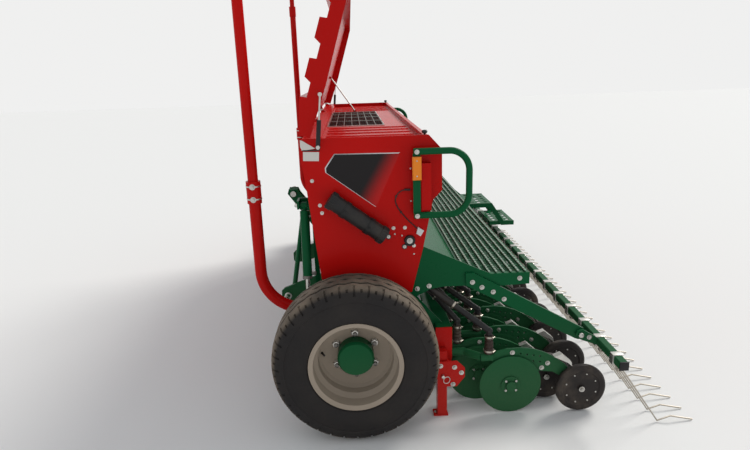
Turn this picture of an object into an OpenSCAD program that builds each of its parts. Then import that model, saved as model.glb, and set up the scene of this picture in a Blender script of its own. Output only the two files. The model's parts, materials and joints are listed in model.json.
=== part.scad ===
// Mechanical seed drill on two carrying wheels, three metres of working width.
// Millimetres, +Z up, +Y forwards, +X to the right of travel, floor at Z = 0.
// The lid stands open, the markers stand folded and the coulters rest just above the floor.

/* [Seed box] */
// Distance between the outer faces of the end panels
hopper_w = 2800; // [2600:10:3000]
// End panel sheet
panel_t = 4; // [3:1:6]
// Seed box sheet
box_t = 3; // [2:0.5:4]
// Height of the top edge of the end panels
rim_z = 1362; // [1340:1:1380]
// Front edge of the end panels ahead of the axle
box_front = 208; // [200:1:216]
// Rear edge of the end panels behind the axle
box_rear = 424; // [416:1:440]
// Height of the lower edge of the end panels
panel_foot = 617; // [600:1:640]
// Height of the seed box floor
box_floor = 800; // [780:1:815]
// Drop of the inner cover sheet below the top edge
cover_drop = 27; // [20:1:40]
// Width of the front flange of the seed box
front_flange = 82; // [70:1:90]
// Width of the rear flange of the seed box
rear_flange = 20; // [14:1:30]
// Length of the filling opening
fill_l = 1160; // [1000:10:1180]
// Width of the filling opening
fill_w = 320; // [280:5:330]
// Centre of the filling opening ahead of the axle
fill_y = -50; // [-70:5:-40]
// Rows of openings in the seed sieve
sieve_cells = 7; // [5:1:10]
// Width of a sieve bar
sieve_bar = 4; // [3:1:6]
// Height of a sieve bar
sieve_h = 5; // [4:1:8]
// Height of the creases in the cover sheet
crease_h = 5; // [3:1:8]

/* [Lid] */
// Hinge ahead of the axle
hinge_y = 195; // [185:1:205]
// Hinge height above the top edge
hinge_up = 14; // [12:1:22]
// Hinge pin radius
hinge_r = 6; // [5:0.5:7]
// Outer hinges inside the end panels
hinge_in = 140; // [100:5:200]
// Angle of the lid from shut to the drawn place
lid_open = 72; // [60:1:80]
// Lid length from the hinge
lid_l = 670; // [640:5:690]
// Lid sheet
lid_t = 2; // [1.5:0.5:3]
// Lid beyond each end panel
lid_over = 12; // [10:1:16]
// Height of the outer skin above the hinge when shut
lid_up = 22; // [20:1:26]
// Height of the inner skin above the hinge when shut
lid_in = 10; // [8:1:12]
// Depth of the skirt below the hinge when shut
lid_down = 44; // [38:1:46]
// Height of the stiffening folds above the skin
fold_h = 30; // [24:1:36]
// Place of the stay across the drill
stay_x = 600; // [590:5:640]
// Stay rod radius
stay_r = 5; // [4:0.5:6]
// Stay length from its pin to its tip
stay_l = 305; // [300:1:308]

/* [Gas struts] */
// Strut plane outside the end panel
strut_out = 32; // [30:1:36]
// Barrel radius
strut_r = 10; // [9:0.5:11]
// Rod radius
strut_rod_r = 4; // [3:0.5:5]
// Barrel length
strut_len = 118; // [112:1:122]
// Pin radius at the foot of a strut
strut_pin_r = 6; // [5:0.5:6.5]

/* [Wheels] */
// Tyre outside diameter
tyre_d = 760; // [740:1:780]
// Tyre section width
tyre_w = 264; // [250:1:270]
// Space between end panel and tyre
wheel_gap = 28; // [24:1:40]
// Rim flange diameter
rim_d = 425; // [410:1:430]
// Studs in the wheel
studs = 6; // [5:1:8]
// Stud circle diameter
stud_pcd = 205; // [195:1:220]
// Hub cap radius
cap_r = 84; // [70:1:86]
// Hub barrel radius
hub_r = 60; // [50:1:62]
// Stub axle radius
stub_r = 30; // [25:1:35]
// Running clearance of bearings
run_gap = 0.05; // [0.02:0.01:0.1]
// Seat clearance between pieces that are bolted together
seat = 0.3; // [0.1:0.1:0.5]

/* [Frame] */
// Main beam side
beam = 100; // [90:1:110]
// Coulter beam side
rear_beam = 80; // [70:1:84]
// Side member and post side
post = 60; // [50:1:70]
// Inner side members from the middle
inner_x = 450; // [430:5:480]
// Coulter beam ahead of the axle
rear_beam_y = -428; // [-440:1:-424]
// Coulter beam height
rear_beam_z = 405; // [395:1:420]
// Posts ahead of the axle
post_y = -92; // [-100:1:-84]
// Half spread of the lower hitch pins at their shoulders
hitch_half = 412.5; // [400:0.5:420]
// Lower hitch pin radius
hitch_r = 14; // [14:0.5:18]
// Lower hitch pin length
hitch_l = 110; // [90:1:125]
// Lower hitch pins ahead of the axle
hitch_y = 440; // [430:1:480]
// Lower hitch pin height
hitch_z = 225; // [215:1:240]
// Mast height from the lower pins to the top link
mast = 610; // [560:1:640]
// Top link bore radius
top_r = 12.75; // [12.75:0.25:16]
// Outer faces of the two mast cheeks apart
mast_w = 80; // [76:1:90]

/* [Coulters] */
// Working width between the outer rows
work_w = 3000; // [2900:10:3040]
// Rows
rows = 25; // [21:2:27]
// Stagger between front and rear rows
stagger = 130; // [120:1:150]
// Disc radius
disc_r = 150; // [140:1:152]
// Rear row discs ahead of the axle
disc_y = -742; // [-750:1:-736]
// Sowing discs outside the plates that carry them
disc_in = 16; // [14:1:20]
// Thickness of a coulter plate
plate_t = 10; // [8:1:12]
// Coulter arm height
arm_z = 300; // [296:1:306]
// Coulter arm radius
arm_r = 20; // [16:1:22]
// Press wheel radius
press_r = 123; // [110:1:125]
// Press wheel width
press_w = 34; // [30:1:40]
// Press wheels behind the discs
press_dy = 342; // [335:1:350]
// Clearance below discs and press wheels
float_z = 4; // [2:1:10]
// Seed tube radius
tube_r = 19; // [16:1:20]
// Length of a rubber boot
boot_l = 95; // [80:1:100]

/* [Walkway] */
// Tread height
walk_z = 686; // [670:1:700]
// Inner edge of the tread ahead of the axle
walk_y0 = -530; // [-540:1:-520]
// Outer edge of the tread ahead of the axle
walk_y1 = -848; // [-860:1:-840]
// Rows of openings in the tread
tread_rows = 8; // [6:1:10]
// Openings in each row of the tread
tread_cols = 28; // [20:1:34]
// Height of the ridges between the rows
ridge_h = 9; // [6:1:12]
// Step width
step_w = 360; // [320:5:400]
// Middle of the steps across the drill
step_x = 580; // [560:5:620]
// Step depth
step_d = 190; // [180:5:200]
// Guard rail tube radius
rail_r = 15; // [13:0.5:17]
// Reach of the guard rails behind the axle
rail_reach = 540; // [520:5:560]

/* [Harrow] */
// Harrow bar side
bar = 40; // [36:1:45]
// Harrow bar half length
bar_half = 1670; // [1600:5:1680]
// Harrow bar ahead of the axle
bar_y = -1208; // [-1220:1:-1200]
// Harrow bar height
bar_z = 322; // [310:1:332]
// Double tines on the bar
tines = 18; // [14:1:20]
// Tine wire radius
wire_r = 4; // [3:0.5:5]
// Tine coil radius
coil = 13; // [11:1:14]
// Wall of the clips on the bar
clip_t = 4; // [3:1:5]
// Reach of the tines behind the bar
tine_reach = 375; // [350:5:390]

/* [Markers] */
// Marker pivot inside the end panel
mark_in = 100; // [90:1:110]
// Marker pivot height
mark_z = 520; // [510:1:530]
// Upright part of the marker ahead of the axle
mark_y = 445; // [430:1:455]
// Lower tube radius
mark_r = 28; // [26:1:30]
// Bend radius of the marker tube
mark_bend = 200; // [180:5:210]
// Marker reach from its pivot to its disc
mark_l = 1830; // [1700:10:1900]
// Marker disc radius
mark_disc_r = 150; // [130:1:160]
// Marker cylinder ahead of the axle
cyl_y = 215; // [205:1:225]
// Height of the cylinder pin above the marker pivot
cyl_up = 520; // [500:1:540]
// Cylinder barrel radius
cyl_r = 22; // [20:1:24]
// Cylinder rod radius
cyl_rod_r = 10; // [8:0.5:12]
// Cylinder pin radius
cyl_pin_r = 8; // [7:0.5:9]
// Marker disc spindle radius
spindle_r = 10; // [8:0.5:12]

/* [Stands] */
// Stand leg ahead of the axle
leg_y = -411; // [-416:1:-408]
// Stand leg side
leg_s = 45; // [40:1:48]
// Stand socket plate
socket_t = 6; // [5:1:8]
// Wall of the stand sleeve
sleeve_t = 7; // [5:1:8]
// Length of the stand leg above its foot
leg_l = 340; // [320:5:360]
// Foot plate thickness
foot_t = 8; // [6:1:10]

/* [Hidden] */
$fn = 48;
GREEN = [0.02, 0.36, 0.17];
RED = [0.76, 0.05, 0.04];
BLACK = [0.05, 0.05, 0.055];
BROWN = [0.13, 0.08, 0.05];
STEEL = [0.68, 0.68, 0.7];
BEIGE = [0.72, 0.67, 0.58];
AMBER = [0.95, 0.45, 0.03];
in_w = hopper_w - 2 * panel_t;
panel_x = hopper_w / 2;
axle_z = tyre_d / 2;
wheel_x = panel_x + wheel_gap + tyre_w / 2;
row_gap = work_w / (rows - 1);
outlet_gap = (in_w - 120) / (rows - 1);
tine_tip_y = bar_y - tine_reach;
front_y = mark_y + mark_disc_r;
// Distance of the axle ahead of the middle of the whole length
axle_y = -(front_y + tine_tip_y) / 2;
// Top of the flanges and of the cover sheet
flange_z = rim_z - 2;
cover_z = rim_z - cover_drop;
hinge_z = rim_z + hinge_up;
lid_half = panel_x + lid_over;
strut_x = panel_x + strut_out;
strut_eye_w = 2 * strut_rod_r + 2;
// Stud on each lid end, which stops just before the strut's eye
stud_l = strut_x - strut_eye_w / 2 - 0.5 - lid_half;
disc_z = disc_r + float_z;
press_y = disc_y - press_dy;
press_z = press_r + float_z;
beam_half = panel_x - 80;
side_x = panel_x - 130;
mark_x = panel_x - mark_in;
// Length of the walkway and the plane of the guard rails
walk_l = in_w - 12;
rail_x = panel_x + 40;
// Half length of the coulter beam and the leg beside it
rear_half = work_w / 2 - 60;
leg_x = rear_half + seat + socket_t + sleeve_t + leg_s / 2;
tine_gap = 2 * (bar_half - 76) / (tines - 1);
top_z = hitch_z + mast;
top_y = hitch_y - 40;
// Lower ends of the seed tubes and the rubber boots below them
boot_y = -636;
boot_z = arm_z + arm_r + seat;
spigot_r = 16;
// Outlets below the metering housings, forwards and up
spout = [-300, 690];
// Rear end of a coulter arm ahead of the axle
arm_end = -655;

// A length along X of a profile drawn as forwards and up
module across(len, x = 0) {
    translate([x - len / 2, 0, 0])
        rotate([90, 0, 90])
            linear_extrude(len)
                children();
}

// A box given by its middle
module block(size, at) {
    translate(at)
        cube(size, center = true);
}

// A round bar along X
module bar_x(r, len, at) {
    translate(at)
        rotate([0, 90, 0])
            cylinder(r = r, h = len, center = true);
}

// A round bar along Y
module bar_y_(r, len, at) {
    translate(at)
        rotate([90, 0, 0])
            cylinder(r = r, h = len, center = true);
}

// A round bar between two places
module rod(a, b, r) {
    d = b - a;
    len = norm(d);
    translate(a)
        rotate([0, acos(d[2] / len), atan2(d[1], d[0])])
            cylinder(r = r, h = len);
}

// Square tube outline with its four edges broken, given by its middle
module tube_outline(s, at, c = 5) {
    h = s / 2;
    translate(at)
        polygon([
            [h - c, h], [c - h, h], [-h, h - c], [-h, c - h],
            [c - h, -h], [h - c, -h], [h, c - h], [h, h - c]
        ]);
}

// Everything is drawn from the axle and moved to the middle of the whole length
module from_axle() {
    translate([0, axle_y, 0])
        children();
}

// The same thing on the left and on the right
module both() {
    children();
    mirror([1, 0, 0])
        children();
}

// Corner i of an open line, moved by t to the right-hand side of both its neighbours
function beside(p, i, t) =
    let (
        u = i == 0 ? (p[1] - p[0]) / norm(p[1] - p[0]) : (p[i] - p[i - 1]) / norm(p[i] - p[i - 1]),
        v = i == len(p) - 1 ? u : (p[i + 1] - p[i]) / norm(p[i + 1] - p[i]),
        n = [u[1], -u[0]],
        m = [v[1], -v[0]],
        k = 1 + n[0] * m[0] + n[1] * m[1]
    )
    p[i] + t * (n + m) / k;

// Sheet of thickness t on the right-hand side of an open line
function sheet(p, t) = concat(p, [for (i = [len(p) - 1 : -1 : 0]) beside(p, i, t)]);

// Seed box sheet from its front flange down and round to its rear flange, forwards and up
flange_y0 = box_front - 8 - front_flange;
flange_y1 = -(box_rear - 62 - rear_flange);
hopper_p = [
    [flange_y0, cover_z - 12], [flange_y0, flange_z], [box_front - 8, flange_z],
    [box_front - 24, 1110], [10, box_floor + 60], [-120, box_floor], [-250, box_floor],
    [-318, box_floor + 50], [-376, 1066], [6 - box_rear, 1111], [6 - box_rear, rim_z - 68],
    [flange_y1 - rear_flange, flange_z], [flange_y1, flange_z], [flange_y1, cover_z - 12]
];
// Agitator shaft near the bottom of the seed box, forwards and up
shaft = [-272, box_floor + 76];
shaft_r = 9;
// End panel outline, forwards and up
panel_p = [
    [box_front, rim_z], [60 - box_rear, rim_z], [-box_rear, rim_z - 66], [-box_rear, 1109],
    [42 - box_rear, 1064], [89 - box_rear, 835], [-280, panel_foot], [138, panel_foot],
    [box_front - 63, 698], [box_front - 41, 897], [box_front - 17, 1133], [box_front, 1257]
];
// Places of the lid hinges across the drill
hinge_xs = [for (k = [-3, -1, 1, 3]) k * (panel_x - hinge_in) / 3];

// Place of an outlet across the drill
function row_x(i) = (i - (rows - 1) / 2) * outlet_gap;

// Left rows face left and right rows face right
function side(i) = i < rows / 2 ? -1 : 1;

// Place of a coulter plate across the drill, its disc stands outside it
function coulter_x(i) = (i - (rows - 1) / 2) * row_gap - side(i) * disc_in;

// Even rows stand behind, odd rows in front
function coulter_y(i) = (i % 2) * stagger;

// Seed box with an outlet to each row
module hopper() {
    color(RED)
        from_axle()
            difference() {
                across(in_w)
                    polygon(sheet(hopper_p, box_t));
                for (i = [0 : rows - 1])
                    block([0.54 * outlet_gap, 50, 20], [row_x(i), -200, box_floor]);
            }
}

// Cover sheet in the seed box with creases, filling opening and the catch of the stay
module cover_sheet() {
    y0 = flange_y0 - seat;
    y1 = flange_y1 + seat;
    color(RED)
        from_axle() {
            difference() {
                union() {
                    across(in_w)
                        polygon([
                            [y0, cover_z], [y1, cover_z], [y1, cover_z - box_t], [y0, cover_z - box_t]
                        ]);
                    for (k = [1 : 5])
                        both()
                            translate([fill_l / 2 + k * (in_w - fill_l) / 12, y0 - 14, cover_z])
                                rotate([90, 0, 0])
                                    linear_extrude(y0 - y1 - 28)
                                        polygon([[-9, -1], [0, crease_h], [9, -1]]);
                }
                block([fill_l, fill_w, 40], [0, fill_y, cover_z]);
            }
            for (d = [-1, 1])
                block([3, 24, 17], [stay_x + d * (stay_r + 4), stay_tip[0], cover_z + 8]);
        }
}

// Brackets and pins of the lid hinges on the front flange
module hinge_brackets() {
    color(RED)
        from_axle()
            for (x = hinge_xs) {
                for (d = [-18, 18])
                    across(8, x + d)
                        polygon([
                            [hinge_y + 9, hinge_z - 2], [hinge_y + 5, hinge_z + 7],
                            [hinge_y - 5, hinge_z + 7], [hinge_y - 9, hinge_z],
                            [hinge_y - 30, flange_z + 0.1], [box_front - 8, flange_z + 0.1]
                        ]);
                bar_x(hinge_r, 46, [x, hinge_y, hinge_z]);
            }
}

// Both end panels of the seed box with the strut studs and the rail channels
module end_panels() {
    color(RED)
        from_axle()
            both() {
                across(panel_t, -panel_x + panel_t / 2)
                    difference() {
                        polygon(panel_p);
                        translate(shaft)
                            circle(shaft_r + 3);
                    }
                bar_x(strut_pin_r, strut_out + 12, [-panel_x - strut_out / 2 - 6, foot[0], foot[1]]);
                translate([-panel_x, rail_bar_y - 21, rail_z0 + 20])
                    linear_extrude(rail_z1 - rail_z0 - 74)
                        difference() {
                            translate([-36, -45])
                                square([37, 45]);
                            translate([-33, -42])
                                square([40, 39]);
                        }
            }
}

// Seed sieve on the filling opening: long bars between end bars, with cross wires on top
module sieve() {
    edge = 8;
    l = fill_l + 2 * edge;
    w = fill_w + 2 * edge - 2;
    pitch = (w - edge) / sieve_cells;
    color(STEEL)
        from_axle()
            translate([0, fill_y, cover_z + 0.1]) {
                for (i = [0 : sieve_cells])
                    block([
                        l - 2 * edge - 2 * seat, i == 0 || i == sieve_cells ? edge : sieve_bar, sieve_h
                    ], [0, (i - sieve_cells / 2) * pitch, sieve_h / 2]);
                for (d = [-1, 1])
                    block([edge, w, sieve_h], [d * (l - edge) / 2, 0, sieve_h / 2]);
                for (x = [-fill_l / 4, 0, fill_l / 4])
                    bar_y_(1.5, w, [x, 0, sieve_h + 1.6]);
            }
}

// Metering housings under the seed box, one to a row, each with its roller case and spout
module metering_housings() {
    w = 0.63 * outlet_gap;
    color(BLACK)
        from_axle()
            for (i = [0 : rows - 1])
                translate([row_x(i), 0, 0]) {
                    across(w)
                        polygon([
                            [-150, box_floor], [-250, box_floor], [-318, box_floor - 40],
                            [-330, box_floor - 84], [-322, box_floor - 96], [-278, box_floor - 96],
                            [-262, box_floor - 80], [-150, box_floor - 48]
                        ]);
                    bar_x(36, w + 6, [0, -214, box_floor - 46]);
                    translate([0, spout[0], spout[1]])
                        cylinder(r = tube_r + 1, h = box_floor - 90 - spout[1]);
                }
}

// Agitator shaft through the seed box with its bearing flanges
module agitator_shaft() {
    color(STEEL)
        from_axle() {
            bar_x(shaft_r, hopper_w + 40, [0, shaft[0], shaft[1]]);
            both()
                bar_x(shaft_r + 11, 12, [-panel_x - 6, shaft[0], shaft[1]]);
        }
}

// Telescopic seed tubes from the spouts to the rubber boots
module seed_tubes() {
    cup = 30;
    color(BLACK)
        from_axle()
            for (i = [0 : rows - 1])
                let (
                    a = [row_x(i), spout[0], spout[1] - cup + 8],
                    c = [coulter_x(i), coulter_y(i) + boot_y, boot_z + boot_l + 22],
                    m = a + 0.55 * (c - a)
                ) {
                    translate([row_x(i), spout[0], spout[1] - seat - cup])
                        cylinder(r = tube_r + 4, h = cup);
                    rod(a, m, tube_r);
                    rod(m - 0.02 * (c - a), c, tube_r - 4);
                    translate(c)
                        sphere(tube_r - 2);
                    translate([c[0], c[1], boot_z + boot_l + seat])
                        cylinder(r = tube_r - 5, h = 22);
                }
}

// Rubber boots on the spigots of the coulter arms
module seed_boots() {
    bore = spigot_r + seat;
    color(BROWN)
        from_axle()
            for (i = [0 : rows - 1])
                translate([coulter_x(i), coulter_y(i) + boot_y, boot_z])
                    rotate_extrude()
                        polygon([
                            [bore, 0], [21, 0], [24, 8], [24, 22], [19, 29], [22, 38], [18, 47],
                            [21, 56], [17, 65], [20, 72], [20, boot_l], [0, boot_l], [0, 22], [bore, 22]
                        ]);
}

// Beams, side members, posts and saddles that carry the seed box
module main_frame() {
    ear_y = cyl_r + 5;
    saddle = [for (i = [5, 4, 3]) beside(hopper_p, i, -seat)];
    color(GREEN)
        from_axle() {
            across(2 * beam_half)
                tube_outline(beam, [0, axle_z]);
            across(2 * rear_half)
                tube_outline(rear_beam, [rear_beam_y, rear_beam_z]);
            for (x = [-side_x, -inner_x, inner_x, side_x]) {
                block([post, -rear_beam_y, post], [x, rear_beam_y / 2, rear_beam_z - 8]);
                block([post, post, box_floor - 30 - axle_z], [x, post_y, (box_floor - 30 + axle_z) / 2]);
                across(post, x)
                    polygon([
                        [post_y - 28, box_floor - 40], [post_y - 28, box_floor - seat],
                        saddle[0], saddle[1], saddle[1] + 0.3 * (saddle[2] - saddle[1]),
                        [64, box_floor + 50], [post_y + 30, box_floor - 40]
                    ]);
            }
            both() {
                across(12, -in_w / 2 + 12)
                    polygon([
                        [120, panel_foot + 33], [-250, panel_foot + 33], [rear_beam_y - 12, 430],
                        [rear_beam_y - 12, 370], [-40, 330], [60, 330]
                    ]);
                block([98, 60, 60], [-beam_half - 15, 0, axle_z]);
                difference() {
                    union() {
                        bar_y_(mark_r + 12, 110, [-mark_x, 125, mark_z]);
                        block([60, 130, 130], [-mark_x, 110, mark_z - 60]);
                    }
                    bar_y_(mark_r + run_gap, 400, [-mark_x, 165, mark_z]);
                }
                across(50, -mark_x + 62)
                    polygon([
                        [beam / 2 - 5, axle_z - 40], [beam / 2 - 5, axle_z + 45], [120, mark_z + 40],
                        [cyl_y - 50, mark_z + 100], [cyl_y - 50, cyl_top[1] + 20],
                        [cyl_y - 30, cyl_top[1] + 20], [cyl_y - 30, mark_z + 80], [135, mark_z],
                        [beam / 2 + 40, axle_z + 20], [beam / 2 + 10, axle_z - 40]
                    ]);
                for (d = [-ear_y, ear_y])
                    block([76, 10, 40], [-mark_x + 13, cyl_y + d, cyl_top[1] + 6]);
                block([10, 2 * ear_y + 10, 40], [-mark_x + 46, cyl_y, cyl_top[1] + 6]);
                bar_y_(cyl_pin_r, 2 * ear_y + 8, [-mark_x, cyl_y, cyl_top[1]]);
            }
        }
}

// Three point headstock with its lower pins and top link bore
module headstock() {
    front = beam / 2 + seat;
    cheek = 14;
    color(GREEN)
        from_axle() {
            both() {
                across(16, -hitch_half + 8)
                    polygon([
                        [front, axle_z + 50], [hitch_y - 90, hitch_z + 96], [hitch_y + 20, hitch_z + 56],
                        [hitch_y + 40, hitch_z + 36], [hitch_y + 40, hitch_z - 26],
                        [hitch_y + 26, hitch_z - 40], [hitch_y - 60, hitch_z - 40],
                        [front, axle_z - beam / 2]
                    ]);
                bar_x(hitch_r + 12, 22, [-hitch_half + 11, hitch_y, hitch_z]);
                bar_x(hitch_r, hitch_l, [-hitch_half - hitch_l / 2, hitch_y, hitch_z]);
                rod([-hitch_half + 14, hitch_y - 40, hitch_z + 30],
                    [-mast_w / 2 + 4, top_y - 60, top_z - 130], 16);
            }
            difference() {
                both()
                    across(cheek, -(mast_w - cheek) / 2)
                        polygon([
                            [front, axle_z - 40], [front + 90, axle_z + 20], [top_y + 40, top_z],
                            [top_y + 30, top_z + 32], [top_y - 30, top_z + 32], [top_y - 44, top_z],
                            [front + 60, axle_z + 130], [front, axle_z + 50]
                        ]);
                bar_x(top_r, 200, [0, top_y, top_z]);
            }
            block([mast_w - 20, 60, 12], [0, front + 60, axle_z + 60]);
            block([mast_w - 20, 12, 120], [0, front + 190, axle_z + 250]);
        }
}

// Stub axles that carry the wheels
module stub_axles() {
    x0 = panel_x - 15;
    x1 = wheel_x + 25;
    color(STEEL)
        from_axle()
            both()
                bar_x(stub_r, x1 - x0, [-(x0 + x1) / 2, 0, axle_z]);
}

// Plates behind the end panels that carry the walkway
module side_plates() {
    color(GREEN)
        from_axle()
            both()
                across(6, -in_w / 2 + 3)
                    polygon([
                        [-334, 842], [-660, walk_z + 4], [walk_y1, walk_z + 4], [walk_y1, walk_z - 54],
                        [-705, walk_z - 59], [-559, 636], [-430, 636], [-370, 626], [-300, 590],
                        [-262, 570], [-240, 590], [-240, 690], [-300, 780]
                    ]);
}

// Frame around the tread and the sloping sheet behind the seed box
module walkway_frame() {
    l = walk_l;
    mid = (walk_y0 + walk_y1) / 2;
    color(GREEN)
        from_axle() {
            for (y = [walk_y0 - 3, walk_y1 + 3])
                block([l, 6, 40], [0, y, walk_z - 20]);
            for (x = [-900, 0, 900])
                block([40, walk_y0 - walk_y1 - 12, 30], [x, mid, walk_z - 25]);
            across(l)
                polygon([[walk_y0, walk_z], [walk_y0, walk_z - 4], [-334, 790], [-334, 794]]);
        }
}

// Pierced tread with a ridge between the rows of openings
module walkway_tread() {
    l = walk_l;
    w = walk_y0 - walk_y1 - 2;
    dx = (l - 36) / tread_cols;
    dy = (w - 36) / tread_rows;
    color(GREEN)
        from_axle()
            translate([0, (walk_y0 + walk_y1) / 2, walk_z]) {
                linear_extrude(3)
                    difference() {
                        square([l, w], center = true);
                        for (i = [0 : tread_rows - 1])
                            for (j = [0 : tread_cols - 1])
                                translate([
                                    (j - (tread_cols - 1) / 2) * dx, (i - (tread_rows - 1) / 2) * dy
                                ])
                                    square([dx - 14, dy - 15], center = true);
                    }
                for (i = [0 : tread_rows])
                    block([l, 4, ridge_h + 1], [0, (i - tread_rows / 2) * dy, 2 + ridge_h / 2]);
            }
}

// Steps behind the walkway, as pierced pans between two rails: middle ahead of the axle, top
step_at = [[-1015, 605], [-1195, 455]];
module steps() {
    pan = 30;
    sheet_t = 3;
    rail = 6;
    color(GREEN)
        from_axle() {
            for (s = step_at)
                difference() {
                    block([step_w, step_d, pan], [step_x, s[0], s[1] - pan / 2]);
                    block([step_w - 2 * sheet_t, step_d - 2 * sheet_t, pan], [
                        step_x, s[0], s[1] - sheet_t - pan / 2
                    ]);
                    for (i = [-2 : 2])
                        for (j = [-1 : 1])
                            translate([step_x + i * 66, s[0] + j * 56, s[1] - 10])
                                cylinder(r = 16, h = 20);
                }
            for (d = [-1, 1])
                across(rail, step_x + d * (step_w + rail - 1) / 2)
                    polygon([
                        [walk_y1, walk_z - 8], [-932, 606], [-1112, 606], [-1210, 456],
                        [-1292, 456], [-1292, 422], [-1188, 422], [-1090, 572], [-920, 572],
                        [walk_y1, walk_z - 42]
                    ]);
        }
}

// Looped guard rails at the ends of the walkway with the bars of the reflectors
rail_z0 = 1004;
rail_z1 = 1294;
rail_bar_y = -304;
module guard_rails() {
    x = rail_x;
    bend = 90;
    y0 = bend - rail_reach;
    color(GREEN)
        from_axle()
            both() {
                for (z = [rail_z0, rail_z1]) {
                    bar_y_(rail_r, -290 - y0, [-x, (y0 - 290) / 2, z]);
                    bar_x(rail_r - 4, rail_x - panel_x - seat, [
                        -(panel_x + rail_x + seat) / 2, rail_bar_y, z
                    ]);
                }
                rod([-x, -rail_reach, rail_z0 + bend], [-x, -rail_reach, rail_z1 - bend], rail_r);
                translate([-x, y0, rail_z1 - bend])
                    rotate([0, 90, 0])
                        rotate([0, 0, 180])
                            rotate_extrude(angle = 90)
                                translate([bend, 0])
                                    circle(rail_r);
                translate([-x, y0, rail_z0 + bend])
                    rotate([0, 90, 0])
                        rotate([0, 0, 270])
                            rotate_extrude(angle = 90)
                                translate([bend, 0])
                                    circle(rail_r);
                block([6, 34, rail_z1 - rail_z0 - 20], [-x, rail_bar_y, (rail_z0 + rail_z1) / 2]);
            }
}

// Amber reflectors on the bars of the guard rails
module reflectors() {
    color(AMBER)
        from_axle()
            both() {
                block([10, 40, 104], [-rail_x - 8 - seat, rail_bar_y, 1220]);
                block([4, 32, 96], [-rail_x - 14 - seat, rail_bar_y, 1220]);
            }
}

// Document tube on the left end panel with its caps and straps
tube_a = [87, 1094];
tube_b = [-151, 914];
doc_r = 38;
module document_tube() {
    x = -panel_x - doc_r - 4;
    u = (tube_b - tube_a) / norm(tube_b - tube_a);
    l = norm(tube_b - tube_a);
    function at(s) = [x, tube_a[0] + s * u[0], tube_a[1] + s * u[1]];
    color(BLACK)
        from_axle() {
            rod(at(0), at(l), doc_r);
            rod(at(-4), at(26), doc_r + 3);
            rod(at(l - 26), at(l + 4), doc_r + 3);
            for (s = [0.28 * l, 0.72 * l]) {
                rod(at(s - 8), at(s + 8), doc_r + 2);
                block([18, 26, 26], [-panel_x - 9 - seat, at(s)[1], at(s)[2]]);
            }
        }
}

// Arms below the coulter beam, each with its clamp, its eye and the spigot of its boot
crank_y = [-528, -602];
module coulter_arms() {
    under = rear_beam_z - rear_beam / 2;
    color(GREEN)
        from_axle()
            for (i = [0 : rows - 1])
                let (
                    x = coulter_x(i),
                    ax = side(i) * min(abs(x), rear_half - 20),
                    end = coulter_y(i) + arm_end
                ) {
                    block([36, rear_beam + 8, 10], [ax, rear_beam_y, under - 5]);
                    for (d = [-12, 12])
                        block([6, 52, under - arm_z + 12], [
                            ax + d, rear_beam_y, (under + arm_z - 12) / 2
                        ]);
                    bar_x(arm_r + 4, 18, [ax, rear_beam_y, arm_z]);
                    bar_x(8, 38, [ax, rear_beam_y, arm_z]);
                    if (ax == x)
                        rod([x, rear_beam_y, arm_z], [x, end, arm_z], arm_r);
                    else {
                        rod([ax, rear_beam_y, arm_z], [ax, crank_y[0] - 6, arm_z], arm_r);
                        rod([ax, crank_y[0], arm_z], [x, crank_y[1], arm_z], arm_r - 1);
                        rod([x, crank_y[1] + 6, arm_z], [x, end, arm_z], arm_r);
                    }
                    translate([x, coulter_y(i) + boot_y, arm_z])
                        cylinder(r = spigot_r, h = arm_r + 18);
                }
}

// Coulter plates behind the arms with their adjusting holes and bearing bosses
module coulter_bodies() {
    front = arm_end - seat;
    color(GREEN)
        from_axle()
            for (i = [0 : rows - 1])
                translate([coulter_x(i), coulter_y(i), 0])
                    across(plate_t)
                        difference() {
                            union() {
                                polygon([
                                    [front, arm_z + 10], [-672, arm_z + 26], [-720, arm_z + 38],
                                    [-790, arm_z + 40], [-850, arm_z + 32], [-905, arm_z + 12],
                                    [-960, arm_z - 18], [-1010, arm_z - 58], [-1050, arm_z - 108],
                                    [press_y - 22, press_z + 9], [press_y + 18, press_z - 15],
                                    [-1010, arm_z - 132], [-950, arm_z - 94], [-880, arm_z - 86],
                                    [-820, arm_z - 100], [disc_y - 34, disc_z], [disc_y + 34, disc_z],
                                    [-690, arm_z - 60], [front, arm_z - 24]
                                ]);
                                translate([disc_y, disc_z])
                                    circle(34);
                                translate([press_y, press_z])
                                    circle(24);
                            }
                            for (k = [0 : 3])
                                for (j = [0, 1])
                                    translate([-790 - 32 * k, arm_z + 10 - 6 * k - 30 * j])
                                        circle(5);
                        }
}

// Sowing discs with a bevelled edge and their hubs
module coulter_discs() {
    inner = disc_in - plate_t / 2 - seat;
    color(GREEN)
        from_axle()
            for (i = [0 : rows - 1])
                translate([coulter_x(i), coulter_y(i) + disc_y, disc_z]) {
                    translate([side(i) * disc_in, 0, 0])
                        rotate([0, 90, 0])
                            rotate_extrude()
                                polygon([
                                    [0, -2.5], [disc_r - 10, -2.5], [disc_r, -0.6],
                                    [disc_r, 0.6], [disc_r - 10, 2.5], [0, 2.5]
                                ]);
                    bar_x(32, inner, [side(i) * (disc_in - inner / 2), 0, 0]);
                    bar_x(46, 7, [side(i) * (disc_in + 5.5), 0, 0]);
                    bar_x(24, 22, [side(i) * (disc_in + 11), 0, 0]);
                }
}

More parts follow.
